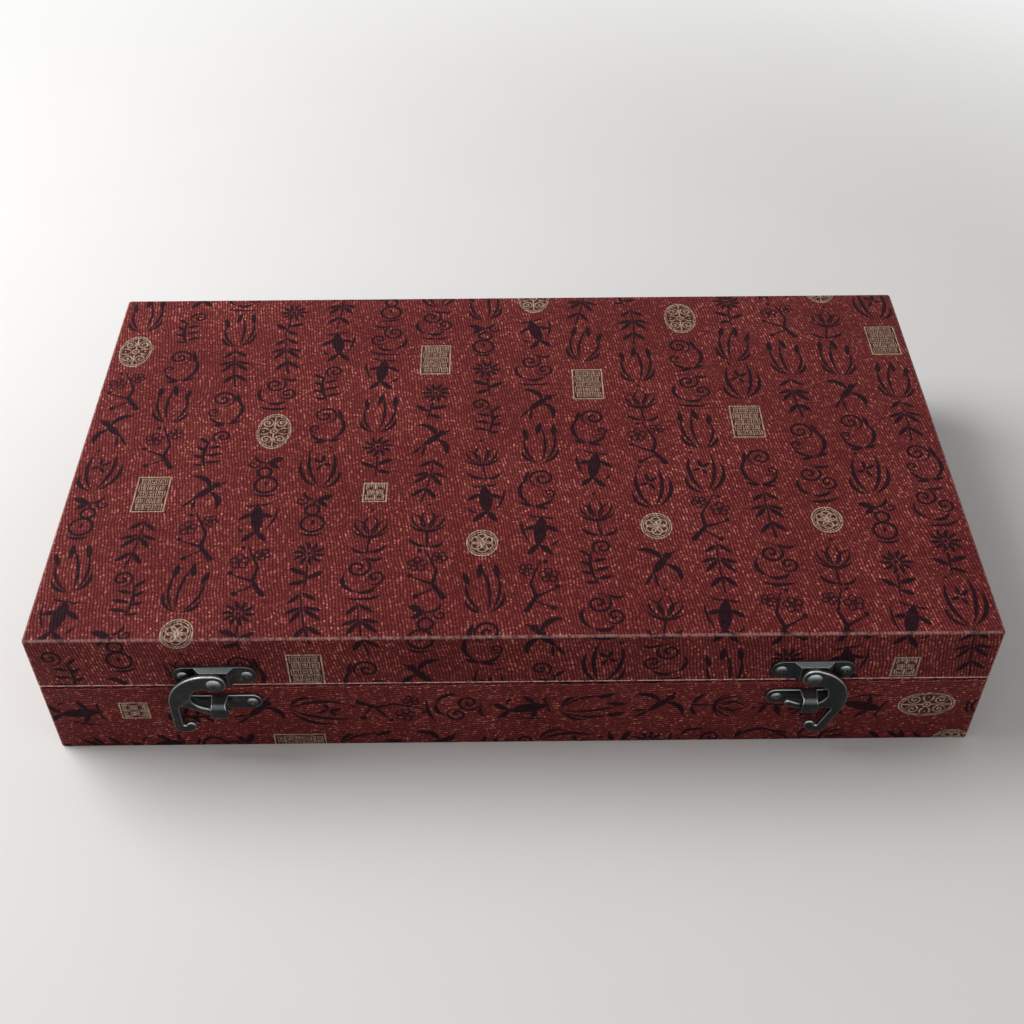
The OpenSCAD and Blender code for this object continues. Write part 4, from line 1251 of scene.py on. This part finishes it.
def hornFinish():
    r = Recipe("black_horn")
    at = r.place()
    flame = r.grain(at, (0.08, 0.5, 0.5), 4.0, 0.65, 0.8)
    colour = r.ramp(flame, [(0.45, (0.010, 0.007, 0.006)), (0.66, (0.045, 0.024, 0.014)),
                            (0.8, (0.20, 0.115, 0.06))])
    return r.done(colour, r.fade(flame, 0.3, 0.8, 0.16, 0.28), r.bump(flame, 0.02 * mm, 0.3),
                  Specular_IOR_Level=0.55)


def hairFinish():
    r = Recipe("goat_hair")
    wrap = r.map("wrap")
    strand = r.grain(wrap, (5.5, 0.05, 0.0), 3.0, 0.7)
    lock = r.grain(wrap, (0.9, 0.04, 0.0), 2.0, 0.6)
    tone = r.timesPlus(lock, 0.6, r.times(strand, 0.5))
    colour = r.ramp(tone, [(0.34, (0.36, 0.25, 0.13)), (0.55, (0.74, 0.62, 0.43)), (0.8, (0.90, 0.84, 0.70))])
    return r.done(colour, 0.55, r.bump(r.plus(strand, lock), 0.12 * mm, 0.8), Sheen_Weight=0.2,
                  Sheen_Roughness=0.4)


bamboo, horn, hair = bambooFinish(), hornFinish(), hairFinish()


def makeBrushes():
    b = brushes
    ferrules = []
    for i in range(4):
        length, radius, tuft = b["length"][i], b["handle"][i], b["tuft"][i]
        start = tuft + b["ferruleLength"]
        profile = [(0, start - 5), (radius - 1.25, start - 5), (radius - 1.25, start), (radius - 0.35, start)]
        rings = [start + (length - start) * share for share in b["joints"][i]]
        around = (-1.1, -0.5, -0.15, 0.15, 0.5, 1.2)
        stops = [start + 0.4, *(ring + away for ring in rings for away in around), length - 9.0]
        for z in stops:
            near = min((abs(z - ring) for ring in rings), default=9.0)
            swell = 0.10 if abs(near - 0.5) < 0.01 else (-0.16 if near < 0.3 else -0.05)
            profile.append((radius + swell, z))
        cap = length - 9.0
        profile += [(radius - 0.35, cap + 0.01), (radius - 0.35, cap + 0.5), (radius - 0.02, cap + 0.6),
                    (radius, cap + 5.6), (radius - 0.45, cap + 7.9), (radius * 0.62, cap + 8.8), (0, length)]
        bm = turned(profile, 40)
        ringLayer = bm.loops.layers.float_color.new("ring")
        for face in bm.faces:
            z = face.calc_center_median().z / mm
            dark = 1.0 if any(abs(z - ring) < 0.4 for ring in rings) else 0.0
            face.material_index = 1 if z > cap else 0
            for loop in face.loops:
                loop[ringLayer] = (dark,) * 4
        slide(bm, brushPlace(i))
        name = "brush_%d" % (i + 1)
        addPiece(name + "_bamboo", bm, [bamboo, horn], 38.0, "base", "bamboo", name + "_handle")

        body = b["ferrule"][i]
        wall = [(0, 0.0), (body - 1.1, 0.0), (body - 0.5, 0.25), (body - 0.08, 1.1), (body - 0.05, 2.0),
                (body - 0.30, 2.3), (body - 0.30, 2.7), (body - 0.10, 3.0), (body - 0.35, 7.0),
                (body - 0.62, 9.8), (body - 0.85, 10.1), (body - 0.85, 10.5), (body - 0.72, 10.8),
                (radius + 0.35, 13.2), (radius + 0.05, 13.8), (radius - 0.4, 14.0), (0, 14.0)]
        ferrules.append(turned([(r, tuft + z) for r, z in wall], 48))

        full = body - 1.25
        shape = ((0.02, 0.0), (0.16, 0.05), (0.34, 0.13), (0.54, 0.25), (0.74, 0.39), (0.89, 0.54),
                 (0.97, 0.68), (1.0, 0.82), (0.95, 0.93), (0.86, 1.0), (0.86, 1.06))
        bm = turned([(0, 0)] + [(full * r, tuft * z) for r, z in shape] + [(0, tuft * 1.06)], 72)
        draw = random.Random(40 + i)
        waves = [(draw.randint(5, 23), draw.uniform(0, 6.3)) for _ in range(7)]
        for vert in bm.verts:
            reach = math.hypot(vert.co.x, vert.co.y) / mm
            share = vert.co.z / mm / tuft
            if reach < 0.05 or share > 0.97:
                continue
            a = math.atan2(vert.co.y, vert.co.x)
            groove = sum(math.sin(n * a + turn + share * 0.8) for n, turn in waves) / len(waves)
            scale = 1 + 0.09 * groove * math.sin(math.pi * min(share * 1.15, 1.0))
            vert.co.x *= scale
            vert.co.y *= scale
        slide(bm, brushPlace(i))
        addPiece(name + "_hair", bm, [hair], 60.0, "base", "hair", name + "_tuft")
    whole = join(ferrules, [brushPlace(i) for i in range(4)])
    addPiece("brush_ferrules_horn", whole, [horn], 40.0, "base", "horn", "brush_ferrules")


makeBrushes()
print("brushes made")

tools = {  # places in the base, from the wells of the insert
    "bed": 11.9, "backMiddle": 43.8,
    "inkX": -16.4,
    "restAt": (36.0, 50.0),  # a known fault: the CAD's brush rest has its middle at y 43.8
    "dishAt": (96.9, 66.8), "potAt": (143.8, -66.8), "spoonAt": (75.9, 1.8),
    "sealX": 162.3, "sealY": (76.3, 11.3),
}
inkstone = {
    "lipAt": (64.8, 27.9), "lipRound": 7.0,  # y and z of the edge where the slope meets the pool
    "carving": ((2.4, 0.0), (0.35, -0.55), (0.7, 0.0), (0.35, 0.55)),  # steps inwards, each with its rise
    "edge": 0.9,
}


def veins(r, cloud, wide):  # thin lines where a cloudy noise crosses its middle
    return r.fade(r.size(r.minus(cloud, 0.5)), 0.0, wide, 1.0, 0.0)


def stoneFinish():
    r = Recipe("inkstone_slate")
    at = r.place()
    cloud = r.noise(at, 0.05, 4.0, 0.6, 0.6)
    grain = r.noise(at, 1.3, 4.0, 0.7)
    vein = veins(r, r.noise(at, 0.022, 3.0, 0.5, 1.5), 0.012)
    colour = r.ramp(r.timesPlus(grain, 0.35, r.times(cloud, 0.65)),
                    [(0.35, (0.014, 0.015, 0.017)), (0.65, (0.045, 0.045, 0.048))])
    colour = r.mix(r.times(vein, 0.35), colour, (0.10, 0.095, 0.085))
    rough = r.fade(grain, 0.3, 0.7, 0.42, 0.62)
    return r.done(colour, rough, r.bump(grain, 0.06 * mm, 0.6))


def stepFaces(bm, faces, steps):  # insets the top again and again, and moves it up or down each time
    for inset, rise in steps:
        bmesh.ops.inset_region(bm, faces=faces, thickness=inset * mm, depth=0.0, use_even_offset=True)
        bmesh.ops.translate(bm, vec=(0, 0, rise * mm), verts=list({v for f in faces for v in f.verts}))


def makeInkstone():
    bm = mergedCopy("inkstone")
    y, z = inkstone["lipAt"]
    lip = [e for e in bm.edges if all(abs(v.co.y / mm - y) < 0.1 and abs(v.co.z / mm - z) < 0.1
                                      for v in e.verts)]
    bevelEdges(bm, lip, inkstone["lipRound"], 7, True)
    high = max(v.co.z for v in bm.verts)
    top = [f for f in bm.faces if f.normal.z > 0.9 and f.calc_center_median().z > high - 1e-5]
    # a double carved line runs round the rim
    stepFaces(bm, top, inkstone["carving"])
    roundEdges(bm, inkstone["edge"], 3, 60.0)
    addPiece("inkstone_slate", bm, [stoneFinish()], 35.0, "base", "inkstone", "inkstone")


inkStick = {
    "figures": ("plum", "bamboo"), "apart": 12.5,  # one for each stick, and how far each lies from inkX
    "half": (12, 54), "tall": 12, "corner": 3.0, "edge": 0.35,
    "rim": 1.7, "slope": 0.3, "sunk": 0.7,  # of the panel on top
    "stretch": (1.28, 1.05), "line": (8.6, 46.0),  # squeezes the gilt figure; half size of its frame
    "gilt": (0.78, 0.52, 0.18),
}


def inkFinish(name, figure=None, centre=(0, 0)):
    s = inkStick
    r = Recipe(name)
    at = r.place()
    grain = r.noise(at, 0.9, 4.0, 0.6)
    colour = r.ramp(grain, [(0.35, (0.007, 0.007, 0.009)), (0.7, (0.024, 0.022, 0.023))])
    if figure is None:
        return r.done(colour, r.fade(grain, 0.3, 0.7, 0.34, 0.5), r.bump(grain, 0.05 * mm, 0.4))
    # gilt drawing pressed into the sunk panel: one sprig, with a line round it
    point = r.vec("MULTIPLY", r.vec("SUBTRACT", at, (*centre, 0.0)), (*s["stretch"], 0.0))
    mask = figureMask(r, point, figures[figure][1], 0.1)
    x, y, _ = r.parts(r.vec("SUBTRACT", at, (*centre, 0.0)))
    edge = r.most(r.minus(r.size(x), s["line"][0]), r.minus(r.size(y), s["line"][1]))
    mask = r.most(mask, r.fade(r.size(edge), 0.2, 0.3, 1.0, 0.0))
    worn = r.times(mask, r.fade(r.noise(at, 0.8, 3.0, 0.7), 0.36, 0.46))
    colour = r.mix(worn, colour, s["gilt"])
    height = r.timesPlus(mask, 2.0, grain)
    return r.done(colour, r.fade(mask, 0.0, 1.0, 0.42, 0.3), r.bump(height, 0.06 * mm, 0.6),
                  Metallic=r.times(worn, 0.85))


def makeInkSticks():
    t, s = tools, inkStick
    wide, long = s["half"]
    parts, places, finishes = [], [], [inkFinish("ink_cake")]
    for i, figure in enumerate(s["figures"]):
        x, y = t["inkX"] + (-1, 1)[i] * s["apart"], t["backMiddle"]
        bm = boxMesh((-wide, -long, 0), (wide, long, s["tall"]))
        stand = [e for e in bm.edges if abs(e.verts[0].co.z - e.verts[1].co.z) > 1e-4]
        bevelEdges(bm, stand, s["corner"], 1)
        top = [f for f in bm.faces if f.normal.z > 0.9]
        stepFaces(bm, top, ((s["rim"], 0.0), (s["slope"], -s["sunk"])))
        for face in top:
            face.material_index = i + 1
        roundEdges(bm, s["edge"], 2, 25.0)
        parts.append(bm)
        places.append(shift(x, y, t["bed"]))
        finishes.append(inkFinish("gilt_" + figure, figure, (x, y)))
    addPiece("ink_sticks_cake", join(parts, places), finishes, 35.0, "base", "ink_stick", "ink_sticks")


glaze = {
    "white": (0.80, 0.83, 0.835), "shade": (0.70, 0.75, 0.77), "cobalt": (0.018, 0.045, 0.26),
    "rough": 0.09,
}


def porcelainFinish(name, paint):  # paint(recipe) gives where and how strongly cobalt is brushed on
    r = Recipe(name)
    at = r.place()
    pool = r.noise(at, 0.06, 3.0)
    body = r.mix(r.fade(pool, 0.35, 0.7), glaze["white"], glaze["shade"])
    brushed = r.noise(at, 0.55, 4.0, 0.65)
    amount = r.times(paint(r, at), r.fade(brushed, 0.25, 0.65, 0.62, 1.0), clamp=True)
    colour = r.mix(amount, body, glaze["cobalt"])
    wobble = r.noise(at, 0.12, 2.0)
    return r.done(colour, glaze["rough"], r.bump(wobble, 0.12 * mm, 0.25), Coat_Weight=0.4,
                  Coat_Roughness=0.04)


def lineAt(r, value, place, half, soft=0.12):
    return r.fade(r.size(r.minus(value, place)), half - soft, half + soft, 1.0, 0.0)


def over(r, *masks):
    total = masks[0]
    for mask in masks[1:]:
        total = r.most(total, mask)
    return total


def scrollBand(r, figure, cell, middle, size):  # one figure repeated round a turned wall
    u, v, _ = r.parts(r.map("wrap"))
    across = r.minus(r.part(r.times(u, 1 / cell)), 0.5)
    across = r.times(across, cell / size)
    along = r.times(r.minus(v, middle), 1 / size)
    return figureMask(r, r.join(along, across, 0.0), figures[figure][1], 0.35)


def centred(r, at, x, y, size):
    return r.vec("MULTIPLY", r.vec("SUBTRACT", at, (x, y, 0.0)), (1 / size, 1 / size, 0.0))


def reachFrom(r, at, x, y):  # how far a point lies from an upright line
    return r.vec("LENGTH", centred(r, at, x, y, 1.0))


brushRest = {
    "peaks": (0.72, 0.88, 1.0, 0.86, 0.7), "saddle": 0.38,  # heights, as shares of the rise
    "rise": 30.0, "long": 100.0, "half": 8.0, "crest": 2.8, "ends": 2.0,
    "plate": (10, 53, 4), "plateRound": 1.4, "seat": 3.0,  # half width, half length and height of its foot
    "wash": (36.0, 46.5), "washNoise": 7.0,  # the blue comes in between these heights
}


def makeBrushRest():
    t, b = tools, brushRest
    place = shift(*t["restAt"], t["bed"])
    peaks, saddle, ends, crest = b["peaks"], b["saddle"], b["ends"], b["crest"]
    wide, middle = b["long"] / len(peaks), b["long"] / 2
    ridge = bmesh.new()
    bmesh.ops.create_grid(ridge, x_segments=56, y_segments=150, size=0.5)
    for vert in ridge.verts:
        y = vert.co.y * b["long"]
        share = min((y + middle) / wide, len(peaks) - 1e-6)
        swing = 0.5 - 0.5 * math.cos(2 * math.pi * (share % 1.0))
        height = b["rise"] * (saddle + (peaks[int(share)] - saddle) * swing) - b["seat"]
        edge = max(1 - (middle - abs(y)) / ends, 0.0)
        shrink = ends * (1 - math.sqrt(1 - edge ** 2))
        deep, high = b["half"] - shrink, height - shrink
        line = roundedPath([(0, 0), (-deep, 0), (-deep, high), (deep, high), (deep, 0), (0, 0)],
                           [0.3, crest, crest, 0.3], 5)
        run = lengthsOf(line)
        spot = alongPath(line, run, (vert.co.x + 0.5) * run[-1])
        vert.co = Vector((spot.x, y, spot.y + b["seat"])) * mm
    bmesh.ops.remove_doubles(ridge, verts=ridge.verts[:], dist=2e-6)
    bmesh.ops.holes_fill(ridge, edges=ridge.edges[:], sides=0)
    bmesh.ops.recalc_face_normals(ridge, faces=ridge.faces[:])
    plateX, plateY, tall = b["plate"]
    plate = roundEdges(boxMesh((-plateX, -plateY, 0), (plateX, plateY, tall)), b["plateRound"], 4)

    def paint(r, at):
        pz = r.parts(at)[2]
        wash = r.fade(r.plus(pz, r.times(r.noise(at, 0.25, 3.0), b["washNoise"])), *b["wash"], 0.0, 0.75)
        return over(r, wash, lineAt(r, pz, t["bed"] + 2.1, 0.5))
    addPiece("brush_rest_porcelain", join([ridge, plate], [place] * 2),
             [porcelainFinish("porcelain_peaks", paint)], 40.0, "base", "porcelain", "brush_rest")


def turnPorcelain(name, points, radii, steps, place, finish, node):
    bm = turned(roundedPath(points, radii, steps), 96)
    slide(bm, shift(*place, tools["bed"]))
    addPiece(name, bm, [finish], 45.0, "base", "porcelain", node)


def makeDishes():
    (rx, ry), (px, py) = tools["dishAt"], tools["potAt"]
    dishRadius, potRadius, dishFloor = 33.0, 33.0, tools["bed"] + 4.7

    def paintDish(r, at):
        _, v, _ = r.parts(r.map("wrap"))
        flower = figureMask(r, centred(r, at, rx, ry, 0.8), figures["plum"][1], 0.2)
        reach = reachFrom(r, at, rx, ry)
        low = r.below(r.parts(at)[2], dishFloor)
        inner = r.times(over(r, flower, lineAt(r, reach, 15.2, 0.45)), low)
        wall = r.times(scrollBand(r, "tendril", dishRadius * math.pi / 7, 12.4, 0.34), r.above(reach, 28.0))
        return over(r, inner, wall, lineAt(r, v, 19.6, 0.55), lineAt(r, v, 6.9, 0.35))

    def paintPot(r, at):
        _, v, _ = r.parts(r.map("wrap"))
        band = scrollBand(r, "tendril", potRadius * math.pi / 9, 8.2, 0.22)
        return over(r, lineAt(r, v, 11.8, 0.4), lineAt(r, v, 4.6, 0.4), band)

    def paintLid(r, at):
        flower = figureMask(r, centred(r, at, px, py, 1.15), figures["lotus"][1], 0.2)
        reach = reachFrom(r, at, px, py)
        circles = ((21.5, 0.35), (23.0, 0.7), (32.6, 0.6))
        return over(r, flower, *(lineAt(r, reach, radius, half) for radius, half in circles))

    turnPorcelain("water_dish_porcelain",
                  [(0, 0.6), (16.2, 0.6), (16.8, 0), (18.15, 0), (18.15, 1.6), (28.4, 6.0), (33, 20),
                   (30.4, 20), (25.8, 7.5), (16.5, 4.4), (0, 4.4)],
                  [0.3, 0.2, 0.4, 0.8, 5.0, 1.1, 1.1, 5.0, 4.0], 4, (rx, ry),
                  porcelainFinish("porcelain_dish", paintDish), "water_dish")
    turnPorcelain("seal_paste_dish_porcelain",
                  [(0, 0.9), (25.6, 0.9), (26.2, 0), (27, 0), (27, 1.5), (33, 4), (33, 13.5),
                   (31, 13.5), (31, 16), (27.5, 16), (27.5, 3.5), (0, 3.5)],
                  [0.3, 0.3, 0.4, 0.5, 1.8, 0.4, 0.2, 0.4, 0.5, 1.5], 4, (px, py),
                  porcelainFinish("porcelain_pot", paintPot), "seal_paste_dish")
    turnPorcelain("seal_paste_lid_porcelain",
                  [(0, 16.2), (31.1, 16.2), (31.1, 13.6), (33, 13.6), (33, 19.5), (29, 22.5),
                   (19.8, 24.4), (0, 25)],
                  [0.3, 0.2, 0.4, 2.2, 6.0, 12.0], 5, (px, py),
                  porcelainFinish("porcelain_lid", paintLid), "seal_paste_lid")


spoon = {
    "handle": ((8.7, -2.5, 4.2), (49, 2.5, 6.4)), "arch": 0.35, "edge": 0.8,
    "reach": 48,  # from the bowl's middle to the foot's
}


def makeSpoon():
    x, y = tools["spoonAt"]
    (start, *_), (end, *_) = spoon["handle"]
    reach = spoon["reach"]
    bowl = turned(roundedPath([(0, 0), (5, 0), (9, 3), (10, 7), (8.4, 7), (7.4, 3.8), (4, 1.8), (0, 1.8)],
                              [1.5, 2.0, 0.75, 0.75, 1.5, 1.2], 4), 56)
    handle = boxMesh(*spoon["handle"])
    along = [e for e in handle.edges if abs(e.verts[0].co.x - e.verts[1].co.x) > 1e-3]
    bmesh.ops.subdivide_edges(handle, edges=along, cuts=10, use_grid_fill=True)
    for vert in handle.verts:  # slimmer in the middle, arched a little
        share = (vert.co.x / mm - start) / (end - start)
        vert.co.y *= 0.72 + 0.55 * (share - 0.45) ** 2 * 2
        vert.co.z += spoon["arch"] * mm * math.sin(math.pi * share)
    roundEdges(handle, spoon["edge"], 3, 50.0)
    disc = turned(roundedPath([(0, 4.1), (3.8, 4.1), (3.8, 6.6), (0, 6.6)], [0.9, 0.9], 4), 32)
    foot = turned(roundedPath([(0, 0), (1.6, 0), (1.6, 4.5), (0, 4.5)], [0.5, 0.2], 3), 24)
    place = shift(x, y, tools["bed"])
    parts = join([bowl, handle, disc, foot], [place, place] + [place @ shift(reach, 0)] * 2)

    def paint(r, at):
        return over(r, lineAt(r, reachFrom(r, at, x, y), 9.2, 0.4),
                    lineAt(r, reachFrom(r, at, x + reach, y), 2.2, 0.35))
    addPiece("spoon_porcelain", parts, [porcelainFinish("porcelain_spoon", paint)], 45.0,
             "base", "porcelain", "spoon")


def soapstoneFinish():
    r = Recipe("soapstone")
    at = r.place()
    swirl = r.noise(at, 0.045, 5.0, 0.6, 1.6)
    fine = r.noise(at, 0.5, 4.0, 0.6)
    vein = veins(r, r.noise(at, 0.06, 4.0, 0.5, 2.0), 0.02)
    colour = r.ramp(swirl, [(0.30, (0.12, 0.022, 0.014)), (0.48, (0.30, 0.068, 0.042)),
                            (0.62, (0.46, 0.15, 0.085)), (0.78, (0.62, 0.36, 0.22))])
    colour = r.mix(r.times(vein, 0.55), colour, (0.60, 0.42, 0.28))
    return r.done(colour, r.fade(fine, 0.3, 0.7, 0.16, 0.27), r.bump(fine, 0.02 * mm, 0.3),
                  Specular_IOR_Level=0.55, Subsurface_Weight=0.08, Subsurface_Scale=0.002)


seal = {
    "body": ((-14.5, -23.5, 0), (14.5, 10.34, 29)), "neck": 2.2, "edge": 0.7,
    "crown": ((2.2, 0.0), (0.0, 0.8), (7.6, 0.0), (2.2, 3.2)),  # steps outwards, each with its inset
}


def makeSeals():
    parts, places = [], []
    for y in tools["sealY"]:
        body = boxMesh(*seal["body"])
        end = [f for f in body.faces if f.normal.y > 0.9]
        # the handle end is stepped in, and its crown is cut to a low pyramid
        bmesh.ops.inset_region(body, faces=end, thickness=seal["neck"] * mm, depth=0.0, use_even_offset=True)
        for out, inset in seal["crown"]:
            if inset:
                bmesh.ops.inset_region(body, faces=end, thickness=inset * mm, depth=0.0, use_even_offset=True)
            if out:
                grown = bmesh.ops.extrude_face_region(body, geom=end)
                bmesh.ops.delete(body, geom=end, context="FACES")
                end = [f for f in grown["geom"] if isinstance(f, bmesh.types.BMFace)]
                bmesh.ops.translate(body, vec=(0, out * mm, 0), verts=list({v for f in end for v in f.verts}))
        roundEdges(body, seal["edge"], 3, 25.0)
        parts.append(body)
        places.append(shift(tools["sealX"], y, tools["bed"]))
    addPiece("seal_stones_soapstone", join(parts, places), [soapstoneFinish()], 35.0,
             "base", "seal_stone", "seal_stones")


def pasteFinish():
    r = Recipe("vermilion_paste")
    at = r.place()
    fibre = r.grain(at, (1.2, 0.5, 1.0), 4.0, 0.7, 1.0)
    colour = r.ramp(fibre, [(0.3, (0.30, 0.010, 0.008)), (0.7, (0.56, 0.035, 0.022))])
    return r.done(colour, 0.62, r.bump(fibre, 0.3 * mm, 0.8))


makeInkstone()
makeInkSticks()
makeBrushRest()
makeDishes()
makeSpoon()
makeSeals()
dressNode("seal_paste", pasteFinish())
print("tools made")
